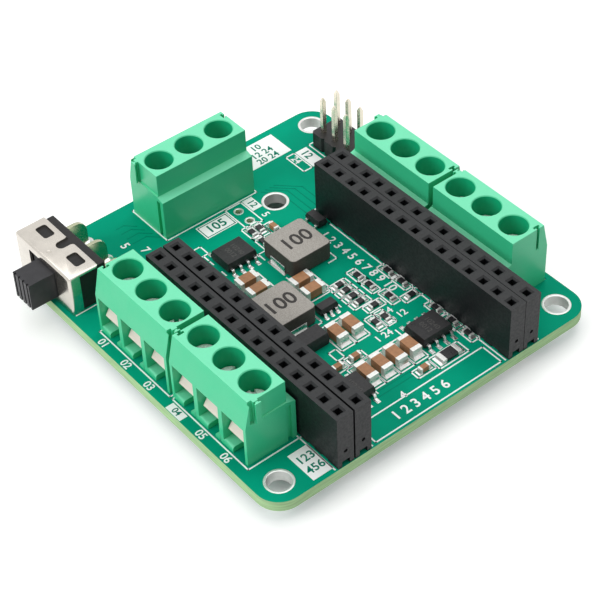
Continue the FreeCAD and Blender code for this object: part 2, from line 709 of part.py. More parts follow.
def switch_base():
    """The moulded insulator that fills the shell, hollow where the slider runs."""
    size = ("switch_length - 2 * shell_sheet", "switch_depth - shell_sheet", "switch_height - shell_sheet")
    blank = box("base_blank", *in_switch(size, ("shell_sheet", "shell_sheet", "0")))
    chamber = box("base_chamber", *in_switch(("2 * chamber_half", "chamber_depth + 1", chamber_height()),
                  ("window_middle - chamber_half", "shell_sheet - 1", "base_floor")))
    legs = [middle_box(f"base_leg_slot_{number + 2}", ("leg_width", "switch_depth", "leg_sheet"),
                       (leg_x(number), "switch_y + switch_depth", "top + leg_exit"))
            for number in (-1, 0, 1)]
    return cut("switch_base", blank, [chamber, *legs])


def chamber_height():
    """Height of the hollow that the slider runs in."""
    return "switch_height - 2 * shell_sheet - cover_gap - base_floor"


def leg_x(number):
    """Where one of the three legs stands: -1, 0 or 1 from the middle."""
    return f"switch_x + switch_length / 2 + {number} * leg_pitch"


def switch_knob():
    """The sliding knob with its ribbed end, and the wing that keeps it in the shell."""
    stem = box("knob_stem", *in_switch(("knob_width", "knob_reach + shell_sheet + stem_root", "knob_height"),
               ("knob_middle - knob_width / 2", "-knob_reach", "knob_base")))
    wing_width = "knob_width + 2 * slider_wing"
    wing = box("knob_wing", *in_switch((wing_width, "slider_thick", f"{chamber_height()} - 2 * slider_play"),
               (f"knob_middle - ({wing_width}) / 2", "shell_sheet + slider_play", "base_floor + slider_play")))
    grooves = []
    for number in range(SIZES["groove_count"]):
        x = f"switch_x + knob_middle - knob_width / 2 + {number + 0.5} * knob_width / groove_count"
        grooves.append(middle_box(f"knob_groove_{number + 1}",
                                  ("knob_groove", "2 * knob_groove", "knob_height + 2 * overrun"),
                                  (x, "switch_y - knob_reach", "top + knob_base - overrun")))
    return cut("switch_knob", fuse("knob_blank", [stem, wing]), grooves)


def switch_wiper():
    """The spring bridge behind the slider, which joins two of the legs."""
    width = "leg_pitch + leg_width"
    back = "shell_sheet + slider_play + slider_thick"
    plate = box("wiper_plate", *in_switch((width, "wiper_sheet", "wiper_height"),
                (f"knob_middle - ({width}) / 2", back, "leg_exit + (leg_sheet - wiper_height) / 2")))
    arm_length = f"chamber_depth + shell_sheet - leg_tip - wiper_gap - ({back})"
    arms = [box(f"wiper_arm_{number}", *in_switch(("wiper_sheet * 2", arm_length, "wiper_height"),
                (x, back, "leg_exit + (leg_sheet - wiper_height) / 2")))
            for number, x in enumerate((f"knob_middle - ({width}) / 2",
                                        f"knob_middle + ({width}) / 2 - wiper_sheet * 2"), start=1)]
    return fuse("switch_wiper", [plate, *arms])


def switch_legs():
    """Three flat legs that leave the back, bend down and pass through the board."""
    legs = []
    for number in (-1, 0, 1):
        tag = number + 2
        x, back = leg_x(number), "switch_y + switch_depth"
        inner_end = "chamber_depth + shell_sheet - leg_tip"
        inner = middle_box(f"leg_inner_{tag}", ("leg_width", f"switch_depth - ({inner_end})", "leg_sheet"),
                           (x, f"switch_y + (switch_depth + {inner_end}) / 2", "top + leg_exit"))
        outer_bend = quarter(f"leg_outer_{tag}", "leg_bend", x, back)
        inner_bend = quarter(f"leg_hollow_{tag}", "leg_bend - leg_sheet", x, back)
        bend = cut(f"leg_arc_{tag}", outer_bend, [inner_bend])
        drop = "leg_exit + leg_sheet - leg_bend + board_thick + short_tail"
        down = middle_box(f"leg_down_{tag}", ("leg_width", "leg_sheet", drop),
                          (x, f"{back} + leg_bend - leg_sheet / 2", "-short_tail"))
        legs.append(fuse(f"switch_leg_{tag}", [inner, bend, down]))
    return group("switch_legs", legs)


def quarter(name, radius, x, y):
    """A quarter of a cylinder across the leg, which turns from level to straight down."""
    item = doc.addObject("Part::Cylinder", name)
    item.Angle = 90
    bind(item, Radius=radius, Height="leg_width")
    item.Placement = FreeCAD.Placement(FreeCAD.Vector(), FreeCAD.Rotation(FreeCAD.Vector(1, 1, 1), 120))
    return bind(item, Placement__Base__x=f"{x} - leg_width / 2", Placement__Base__y=y,
                Placement__Base__z="top + leg_exit + leg_sheet - leg_bend")


def on_field(name, members, spot):
    """A surface mounted part at a place counted from the front row's first pin."""
    x, y, turn = spot
    return placed(name, members, f"first_pin + {x}", f"row_a + {y}", "top", turn)


def rounded_block(name, block_size, lift, radius):
    """A centred block whose four upright edges are rounded."""
    blank = middle_box(name + "_blank", block_size, ("0", "0", lift))
    doc.recompute()
    item = doc.addObject("Part::Fillet", name)
    item.Base = blank
    size = value(radius)
    item.Edges = [(number, size, size) for number, edge in enumerate(blank.Shape.Edges, start=1)
                  if abs(edge.tangentAt(edge.FirstParameter).z) > 0.99]
    return item


def power_coils():
    """Two moulded power inductors and the folded tabs they are soldered by."""
    coil = rounded_block("coil_block", ("coil_side", "coil_side", "coil_height - coil_lift"),
                         "coil_lift", "coil_round")
    tabs = []
    for number, side in enumerate((-1, 1), start=1):
        edge = f"{side} * coil_side / 2"
        wall_size = ("coil_tab_sheet", "coil_tab_width", "coil_tab_height")
        wall = middle_box(f"coil_tab_wall_{number}", wall_size,
                          (f"{edge} + {side} * coil_tab_sheet / 2", "0", "0"))
        foot_size = ("coil_tab_foot + coil_tab_sheet", "coil_tab_width", "coil_lift")
        foot = middle_box(f"coil_tab_foot_{number}", foot_size,
                          (f"{edge} - {side} * (coil_tab_foot - coil_tab_sheet) / 2", "0", "0"))
        tabs.append(fuse(f"coil_tab_{number}", [wall, foot]))
    blocks = [on_field(f"coil_{number}", [coil], spot) for number, spot in enumerate(COILS, start=1)]
    feet = [on_field(f"coil_tabs_{number}", tabs, spot) for number, spot in enumerate(COILS, start=1)]
    return [group("power_inductors", blocks), group("inductor_tabs", feet)]


def gull_lead(name, reach, height, width, sheet):
    """One lead that leaves a chip's side, bends down and ends flat on the board."""
    near, far, under = f"({reach} - {sheet}) / 2", f"({reach} + {sheet}) / 2", f"{height} - {sheet}"
    profile = [("0", height), ("0", under), (near, under), (near, "0"),
               (reach, "0"), (reach, sheet), (far, sheet), (far, height)]
    return profile_body(name, "XZ_Plane", profile, width, middle=True)


def chips():
    """The moulded packages and, as a second group, their leads."""
    big = middle_box("chip_block", ("chip_length", "chip_width", "chip_height"), ("0", "0", "chip_lift"))
    little = middle_box("small_chip_block", ("small_chip_length", "small_chip_width", "small_chip_height"),
                        ("0", "0", "chip_lift"))
    diode = middle_box("diode_block", ("diode_length", "diode_width", "diode_height"), ("0", "0", "0"))
    big_lead = gull_lead("chip_lead", "lead_reach", "lead_height", "lead_width", "lead_sheet")
    little_lead = gull_lead("small_chip_lead", "small_lead_reach", "lead_height - lead_sheet",
                            "lead_width", "lead_sheet")
    far_four = [(side, number - 1.5) for side in (-1, 1) for number in range(4)]
    five = [(-1, -1), (-1, 0), (-1, 1), (1, -1), (1, 1)]
    three = [(-1, -1), (-1, 1), (1, 0)]
    small = (little, little_lead, "small_lead_pitch", "small_chip_width")
    families = (("chip", CHIPS, big, big_lead, "lead_pitch", "chip_width", far_four),
                ("five_lead", FIVE_LEAD_CHIPS, *small, five),
                ("three_lead", THREE_LEAD_CHIPS, *small, three))
    blocks, leads = [], []
    for family, spots, block, lead, pitch, width, feet in families:
        ring = [placed(f"{family}_lead_{number}", [lead], f"{step} * {pitch}", f"{side} * {width} / 2", "0",
                       90 * side) for number, (side, step) in enumerate(feet, start=1)]
        for number, spot in enumerate(spots, start=1):
            blocks.append(on_field(f"{family}_package_{number}", [block], spot))
            leads.append(on_field(f"{family}_leads_{number}", ring, spot))
    for number, spot in enumerate(DIODES, start=1):
        blocks.append(on_field(f"diode_package_{number}", [diode], spot))
    return [group("chips", blocks), group("chip_leads", leads)]


def small_parts(label, families):
    """One group of plain blocks: (tag, places, length, width, height) for each size."""
    members = []
    for tag, spots, length, width, height in families:
        block = middle_box(f"{tag}_block", (length, width, height), ("0", "0", "0"))
        for number, spot in enumerate(spots, start=1):
            members.append(on_field(f"{tag}_{number}", [block], spot))
    return group(label, members)


def check_and_write(nodes):
    """Refuse any failed object or bad shape, then write one file for each sub-part."""
    doc.recompute()
    failed = [item.Label for item in doc.Objects if {"Invalid", "Error"} & set(item.State)]
    if failed:
        raise RuntimeError("failed objects: " + ", ".join(failed))
    for node in nodes:
        shape = node.Shape
        if shape.isNull() or not shape.isValid() or not shape.Solids:
            raise RuntimeError("bad shape: " + node.Label)
    os.makedirs("parts", exist_ok=True)
    for node in nodes:
        node.Shape.exportStep(f"parts/{node.Label}.step")
        print(f"{node.Label}: {len(node.Shape.Solids)} solids, {node.Shape.Volume:.2f} cubic mm")


def build():
    """Make every sub-part and write it."""
    fill_sheet()
    nodes = [circuit_board(), *terminal_blocks(), *socket_strips(), *pin_header()]
    nodes += [switch_shell(), switch_base(), switch_knob(), switch_wiper(), switch_legs()]
    nodes += [*power_coils(), *chips()]
    nodes.append(small_parts("capacitors", (
        ("big_capacitor", BIG_CAPACITORS, "big_cap_length", "big_cap_width", "big_cap_height"),
        ("small_capacitor", SMALL_CAPACITORS, "small_cap_length", "small_cap_width", "small_cap_height"))))
    nodes.append(small_parts("resistors", (
        ("shunt", SHUNTS, "big_cap_length", "big_cap_width", "shunt_height"),
        ("small_resistor", SMALL_RESISTORS, "small_cap_length", "small_cap_width", "film_height"))))
    check_and_write(nodes)


build()
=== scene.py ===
"""Visual model of a square motor driver carrier board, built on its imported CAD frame."""

import json
import logging
import math
from dataclasses import dataclass
from enum import Enum
from typing import Iterable, Optional, Sequence

import bmesh
import bpy
from mathutils import Matrix, Quaternion, Vector

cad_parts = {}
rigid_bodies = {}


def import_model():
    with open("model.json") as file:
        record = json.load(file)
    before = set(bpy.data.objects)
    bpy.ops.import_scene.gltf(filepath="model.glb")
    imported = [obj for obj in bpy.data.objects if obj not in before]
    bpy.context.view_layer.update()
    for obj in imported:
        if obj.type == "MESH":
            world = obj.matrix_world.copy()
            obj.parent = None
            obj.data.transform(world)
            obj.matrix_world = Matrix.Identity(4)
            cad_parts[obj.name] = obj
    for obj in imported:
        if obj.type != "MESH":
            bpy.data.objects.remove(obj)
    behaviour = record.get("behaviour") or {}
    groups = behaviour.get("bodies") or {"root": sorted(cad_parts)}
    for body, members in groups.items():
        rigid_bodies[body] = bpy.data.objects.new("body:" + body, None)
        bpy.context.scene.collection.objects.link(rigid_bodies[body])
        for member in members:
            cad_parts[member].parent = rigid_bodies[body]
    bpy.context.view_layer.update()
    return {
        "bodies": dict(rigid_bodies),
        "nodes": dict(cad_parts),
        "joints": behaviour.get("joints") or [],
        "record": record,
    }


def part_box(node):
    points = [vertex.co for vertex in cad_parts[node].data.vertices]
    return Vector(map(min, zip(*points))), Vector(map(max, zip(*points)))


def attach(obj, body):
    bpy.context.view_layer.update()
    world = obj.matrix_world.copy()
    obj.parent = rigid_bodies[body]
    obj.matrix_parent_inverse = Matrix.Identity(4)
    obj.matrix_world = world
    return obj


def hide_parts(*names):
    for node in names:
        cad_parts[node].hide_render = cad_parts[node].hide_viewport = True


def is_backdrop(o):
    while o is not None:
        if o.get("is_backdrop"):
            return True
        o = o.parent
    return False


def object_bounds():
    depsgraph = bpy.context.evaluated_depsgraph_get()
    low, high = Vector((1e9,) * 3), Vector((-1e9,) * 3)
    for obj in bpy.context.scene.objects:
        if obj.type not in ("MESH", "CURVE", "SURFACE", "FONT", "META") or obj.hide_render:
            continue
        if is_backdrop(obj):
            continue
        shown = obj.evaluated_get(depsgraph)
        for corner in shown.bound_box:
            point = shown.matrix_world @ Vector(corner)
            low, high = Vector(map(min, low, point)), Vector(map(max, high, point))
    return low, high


log = logging.getLogger("carrier_board")

MM = 0.001

Point = tuple[float, float, float]
Spot = tuple[float, float]
Colour = tuple[float, float, float]
Corners = tuple[Vector, Vector]


class Axis(Enum):
    """A direction that an outline is drawn out along, or a part is brushed along."""

    X = 0
    Y = 1
    Z = 2


class Facing(Enum):
    """Where the wire openings of a terminal block look, as its turn about Z in degrees."""

    FRONT = 0
    BACK = 180
    LEFT = -90


def box_mm(node: str) -> Corners:
    """Return the lowest and highest corner of a CAD node in millimetres."""
    low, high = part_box(node)
    return Vector(low) / MM, Vector(high) / MM


# ---------------------------------------------------------------------------
# Finishes
# ---------------------------------------------------------------------------


class Wiring:
    """Nodes and links of one material or world, placed and joined by short calls."""

    def __init__(self, owner: bpy.types.ID) -> None:
        """Clear the owner's node tree and keep it.

        Args:
            owner: the material or world whose nodes are made here.
        """
        owner.use_nodes = True
        self.tree = owner.node_tree
        self.tree.nodes.clear()

    def add(self, kind: str, options: Optional[dict] = None, **inputs: object) -> bpy.types.Node:
        """Add a node, set its options and fill or link its inputs.

        Args:
            kind: the node's type name.
            options: properties of the node itself.
            **inputs: a constant or an output socket for each input, by the input's name.

        Returns:
            The new node.
        """
        node = self.tree.nodes.new(kind)
        for name, choice in (options or {}).items():
            setattr(node, name, choice)
        for name, content in inputs.items():
            wanted = name.replace("_", " ").lower()
            socket = next(s for s in node.inputs if s.name.lower() == wanted and s.enabled)
            if isinstance(content, bpy.types.NodeSocket):
                self.tree.links.new(content, socket)
            else:
                socket.default_value = content
        return node

    def millimetres(self, stretch: Point = (1.0, 1.0, 1.0)) -> bpy.types.NodeSocket:
        """Return the piece's own coordinates in millimetres.

        Args:
            stretch: how much longer a pattern gets along each axis.

        Returns:
            The output that carries the point.
        """
        own = self.add("ShaderNodeTexCoord").outputs["Object"]
        scale = tuple(1 / MM / part for part in stretch)
        return self.add("ShaderNodeMapping", vector=own, scale=scale).outputs["Vector"]

    def noise(self, where: bpy.types.NodeSocket, grain: float, detail: float = 3.0) -> bpy.types.NodeSocket:
        """Return a noise whose lumps are about grain millimetres across.

        Args:
            where: the point that the noise is read at.
            grain: size of one lump in millimetres.
            detail: how many finer layers are added.

        Returns:
            The noise, from 0 to 1.
        """
        return self.add("ShaderNodeTexNoise", vector=where, scale=1 / grain, detail=detail).outputs[0]

    def ramp(self, value: bpy.types.NodeSocket, start: float, end: float,
             low: float = 0.0, high: float = 1.0) -> bpy.types.NodeSocket:
        """Return a value moved smoothly from one range to another.

        Args:
            value: the value that is moved.
            start: where the first range starts.
            end: where the first range ends.
            low: what the start becomes.
            high: what the end becomes.

        Returns:
            The moved value.
        """
        node = self.add("ShaderNodeMapRange", {"interpolation_type": "SMOOTHSTEP"}, value=value,
                        from_min=start, from_max=end, to_min=low, to_max=high)
        return node.outputs[0]

    def blend(self, amount: bpy.types.NodeSocket, first: object, second: object) -> bpy.types.NodeSocket:
        """Return a colour between two.

        Args:
            amount: 0 for the first colour and 1 for the second.
            first: a colour or an output that carries one.
            second: a colour or an output that carries one.

        Returns:
            The blended colour.
        """
        node = self.tree.nodes.new("ShaderNodeMix")
        node.data_type = "RGBA"
        self.tree.links.new(amount, node.inputs["Factor"])
        for socket, content in ((node.inputs[6], first), (node.inputs[7], second)):
            if isinstance(content, bpy.types.NodeSocket):
                self.tree.links.new(content, socket)
            else:
                socket.default_value = (*content, 1.0)
        return node.outputs[2]

    def math(self, operation: str, first: object, second: object = 0.0) -> bpy.types.NodeSocket:
        """Return the result of one calculation on two values."""
        node = self.tree.nodes.new("ShaderNodeMath")
        node.operation = operation
        for socket, content in zip(node.inputs, (first, second)):
            if isinstance(content, bpy.types.NodeSocket):
                self.tree.links.new(content, socket)
            else:
                socket.default_value = content
        return node.outputs[0]

    def relief(self, height: bpy.types.NodeSocket, depth: float,
               under: Optional[bpy.types.NodeSocket] = None) -> bpy.types.NodeSocket:
        """Return a normal raised by a height.

        Args:
            height: the height, from 0 to 1.
            depth: millimetres that a height of 1 stands for.
            under: a normal that this one is laid on.

        Returns:
            The bumped normal.
        """
        extra = {"normal": under} if under is not None else {}
        return self.add("ShaderNodeBump", height=height, strength=1.0, distance=depth * MM, **extra).outputs[0]

    def facing_up(self) -> bpy.types.NodeSocket:
        """Return how far a face looks along its piece's own Z, from -1 to 1."""
        normal = self.add("ShaderNodeTexCoord").outputs["Normal"]
        return self.add("ShaderNodeSeparateXYZ", vector=normal).outputs[2]

    def close(self, shader: bpy.types.Node, output: str = "ShaderNodeOutputMaterial") -> None:
        """Join a shader to the tree's output."""
        end = self.tree.nodes.new(output)
        self.tree.links.new(shader.outputs[0], end.inputs["Surface"])


def tinted(colour: Colour, factor: float) -> Colour:
    """Return a colour made lighter or darker, kept under full white."""
    return tuple(min(0.95, part * factor) for part in colour)


@dataclass(frozen=True)
class Finish:
    """A moulded, fired, plated or printed surface.

    Attributes:
        name: the finish in a maker's words.
        colour: linear base colour.
        rough: middle roughness.
        metal: 1 for bare metal.
        wander: how far the colour drifts from place to place.
        patch: size of a patch of that drift, in millimetres.
        grain: size of the surface grain, in millimetres.
        depth: height of the grain, in millimetres.
        gloss: specular level.
        coat: clear layer on top.
        brushed: direction that the grain is drawn out along.
        soft: how much light passes under the skin.
    """

    name: str
    colour: Colour
    rough: float
    metal: float = 0.0
    wander: float = 0.06
    patch: float = 2.5
    grain: float = 0.12
    depth: float = 0.004
    gloss: float = 0.5
    coat: float = 0.0
    brushed: Optional[Axis] = None
    soft: float = 0.0

    def base(self, wires: Wiring, where: bpy.types.NodeSocket) -> bpy.types.NodeSocket:
        """Return the base colour with its drift."""
        drift = wires.ramp(wires.noise(where, self.patch, 4.0), 0.3, 0.7)
        return wires.blend(drift, tinted(self.colour, 1 - self.wander), tinted(self.colour, 1 + self.wander))

    def material(self) -> bpy.types.Material:
        """Return the material, made at its first use."""
        made = bpy.data.materials.get(self.name)
        if made is not None:
            return made
        made = bpy.data.materials.new(self.name)
        wires = Wiring(made)
        stretch = [1.0, 1.0, 1.0]
        if self.brushed is not None:
            stretch[self.brushed.value] = 14.0
        where = wires.millimetres()
        drawn = wires.millimetres(tuple(stretch))
        fine = wires.noise(drawn, self.grain, 5.0)
        rough = wires.ramp(wires.noise(drawn, self.grain * 5, 4.0), 0.3, 0.7, self.rough * 0.82, self.rough * 1.18)
        shader = wires.add("ShaderNodeBsdfPrincipled", base_color=self.base(wires, where), roughness=rough,
                           metallic=self.metal, specular_ior_level=self.gloss, coat_weight=self.coat,
                           coat_roughness=0.12, subsurface_weight=self.soft, subsurface_scale=0.6 * MM,
                           normal=wires.relief(fine, self.depth))
        wires.close(shader)
        return made


@dataclass(frozen=True)
class PaintedSheenTop(Finish):
    """A pressed body whose top is painted paler than its sides: a painted highlight of the light from above.

    Attributes:
        top: linear colour of the level faces, made paler as a painted highlight.
    """

    top: Colour = (0.5, 0.5, 0.5)

    def base(self, wires: Wiring, where: bpy.types.NodeSocket) -> bpy.types.NodeSocket:
        """Return the side colour below and the paler top colour, a painted highlight, on level faces, both speckled.
        """
        # level faces take the paler top colour: painted highlight
        level = wires.ramp(wires.facing_up(), 0.55, 0.9)
        speckle = wires.ramp(wires.noise(where, 0.16, 2.0), 0.35, 0.65)
        side = wires.blend(speckle, tinted(self.colour, 1 - self.wander), tinted(self.colour, 1 + self.wander))
        top_with_painted_sheen = wires.blend(speckle, tinted(self.top, 1 - self.wander), tinted(self.top, 1 + self.wander))
        return wires.blend(level, side, top_with_painted_sheen)


@dataclass(frozen=True)
class Laminate(Finish):
    """Glass laminate under solder mask: the level faces are masked and the cut edges are bare.

    Attributes:
        edge: linear colour of the cut edge.
        pour: linear colour of mask over a copper pour.
        thick: thickness of the board in millimetres; not used.
    """

    edge: Colour = (0.4, 0.5, 0.3)
    pour: Colour = (0.0, 0.4, 0.3)
    thick: float = 1.6

    def material(self) -> bpy.types.Material:
        """Return the material, made at its first use."""
        made = bpy.data.materials.get(self.name)
        if made is not None:
            return made
        made = bpy.data.materials.new(self.name)
        wires = Wiring(made)
        where = wires.millimetres()
        level = wires.math("GREATER_THAN", wires.math("ABSOLUTE", wires.facing_up()), 0.5)
        cloud = wires.ramp(wires.noise(where, 9.0, 3.0), 0.35, 0.65)
        masked = wires.blend(cloud, self.colour, self.pour)
        plies = wires.add("ShaderNodeTexNoise", vector=wires.millimetres((4.0, 4.0, 0.16)), scale=1.0,
                          detail=4.0).outputs[0]
        fibre = wires.ramp(plies, 0.32, 0.68)
        cut = wires.blend(fibre, tinted(self.edge, 0.84), tinted(self.edge, 1.12))
        weave = wires.noise(wires.millimetres((0.6, 0.6, 0.15)), 1.0, 5.0)
        peel = wires.noise(where, 0.5, 3.0)
        rough = wires.ramp(level, 0.0, 1.0, 0.72, self.rough)
        height = wires.math("ADD", wires.math("MULTIPLY", peel, wires.math("MULTIPLY", level, 0.25)),
                            wires.math("MULTIPLY", weave, wires.math("SUBTRACT", 1.0, level)))
        normal = wires.relief(height, 0.03)
        shader = wires.add("ShaderNodeBsdfPrincipled", base_color=wires.blend(level, cut, masked),
                           roughness=rough, specular_ior_level=self.gloss, normal=normal)
        wires.close(shader)
        return made


class Finishes:
    """Every finish of the board, by what it is in the workshop."""

    board = Laminate("solder_mask_on_laminate", (0.001, 0.285, 0.170), 0.40, gloss=0.02,
                     edge=(0.41, 0.62, 0.33), pour=(0.001, 0.330, 0.196))
    track = Finish("mask_between_pours", (0.001, 0.225, 0.136), 0.40, wander=0.03, grain=0.4, depth=0.002, gloss=0.02)
    ink = Finish("white_legend_ink", (0.93, 0.94, 0.93), 0.55, wander=0.01, patch=0.6, grain=0.2, depth=0.002,
                 gloss=0.4)
    inked_hole = Finish("bare_mask_in_legend", (0.001, 0.20, 0.13), 0.4, wander=0.05, gloss=0.08)
    # the paler top colour of the nylon is a painted highlight of the light from above
    housing = PaintedSheenTop("green_terminal_nylon", (0.046, 0.58, 0.285), 0.34, wander=0.015, patch=4.0, grain=0.35,
                        depth=0.0012, gloss=0.5, top=(0.150, 0.70, 0.41))
    # darker green for the screw well walls: painted shade of the deep wells
    well_painted_shade = Finish("green_well_wall_painted_shade", (0.008, 0.42, 0.20), 0.42, wander=0.015, patch=4.0, grain=0.35, depth=0.0012,
                  gloss=0.15)
    guard = Finish("tinned_wire_guard", (0.78, 0.70, 0.62), 0.50, metal=0.0, wander=0.05, grain=0.08,
                   brushed=Axis.X, gloss=0.3)
    frame = Finish("tinned_terminal_frame", (0.62, 0.61, 0.58), 0.36, metal=1.0, wander=0.08, grain=0.1)
    screw = Finish("zinc_plated_screw", (0.95, 0.95, 0.93), 0.26, metal=0.2, wander=0.08, patch=0.8, grain=0.05)
    # the paler top colour of the socket plastic is a painted highlight
    strip = PaintedSheenTop("black_socket_plastic", (0.005, 0.006, 0.007), 0.48, wander=0.10, patch=2.0, grain=0.07,
                      depth=0.004, gloss=0.36, top=(0.016, 0.017, 0.018))
    # the paler top colour of the header plastic is a painted highlight
    header = PaintedSheenTop("black_header_plastic", (0.006, 0.006, 0.007), 0.45, wander=0.10, patch=1.5, grain=0.07,
                       gloss=0.42, top=(0.014, 0.014, 0.015))
    gold = Finish("gold_flashed_contact", (0.86, 0.70, 0.40), 0.26, metal=1.0, wander=0.06, patch=0.8)
    pin = Finish("plated_header_pin", (0.80, 0.74, 0.62), 0.24, metal=1.0, wander=0.05, patch=0.8, grain=0.05)
    solder = Finish("bright_solder", (0.72, 0.72, 0.70), 0.26, metal=1.0, wander=0.08, patch=0.4, grain=0.25,
                    depth=0.006)
    pad = Finish("tinned_pad", (0.74, 0.74, 0.72), 0.34, metal=0.85, wander=0.07, patch=0.5, grain=0.25,
                 depth=0.004)
    ring = Finish("levelled_tin_ring", (0.76, 0.76, 0.74), 0.34, metal=0.6, wander=0.05, patch=0.8, grain=0.3,
                  depth=0.004)
    nickel = Finish("bright_nickel_sheet", (0.66, 0.62, 0.56), 0.22, metal=1.0, wander=0.05, patch=2.5,
                    grain=0.45, depth=0.0006)
    insulator = Finish("black_switch_base", (0.018, 0.017, 0.017), 0.46, wander=0.10, patch=1.5, grain=0.08,
                       gloss=0.25)
    knob = Finish("grey_black_knob", (0.032, 0.032, 0.035), 0.42, wander=0.10, patch=1.2, grain=0.07, depth=0.005,
                  gloss=0.25)
    # the paler top colour of the inductor is a painted highlight
    coil = PaintedSheenTop("pressed_iron_powder", (0.075, 0.070, 0.062), 0.55, wander=0.12, grain=0.10, depth=0.010,
                     top=(0.35, 0.33, 0.30), metal=0.05, gloss=0.2)
    coil_ink = Finish("dark_value_print", (0.045, 0.042, 0.040), 0.6, wander=0.1, patch=0.3, gloss=0.2)
    chip = Finish("moulded_chip_epoxy", (0.016, 0.016, 0.017), 0.50, wander=0.12, patch=0.7, grain=0.06,
                  depth=0.006, gloss=0.4)
    chip_mark = Finish("laser_marked_resin", (0.060, 0.060, 0.058), 0.6, wander=0.1, patch=0.3, gloss=0.3)
    lead = Finish("tinned_lead", (0.72, 0.72, 0.71), 0.28, metal=1.0, wander=0.05, patch=0.4, grain=0.05)
    leg = Finish("tinned_brass_leg", (0.50, 0.52, 0.36), 0.24, metal=1.0, wander=0.06, patch=0.8, grain=0.3,
                 depth=0.001)
    ceramic = Finish("brown_capacitor_ceramic", (0.36, 0.175, 0.08), 0.40, wander=0.10, patch=0.5, grain=0.05,
                     depth=0.004, gloss=0.35)
    end_cap = Finish("tinned_end_cap", (0.76, 0.77, 0.74), 0.33, metal=0.6, wander=0.06, patch=0.3, grain=0.2,
                     depth=0.003)
    film = Finish("glazed_resistor_film", (0.018, 0.018, 0.020), 0.30, wander=0.10, patch=0.3, grain=0.2,
                  depth=0.001, gloss=0.4)


# ---------------------------------------------------------------------------
# Mesh tools
# ---------------------------------------------------------------------------


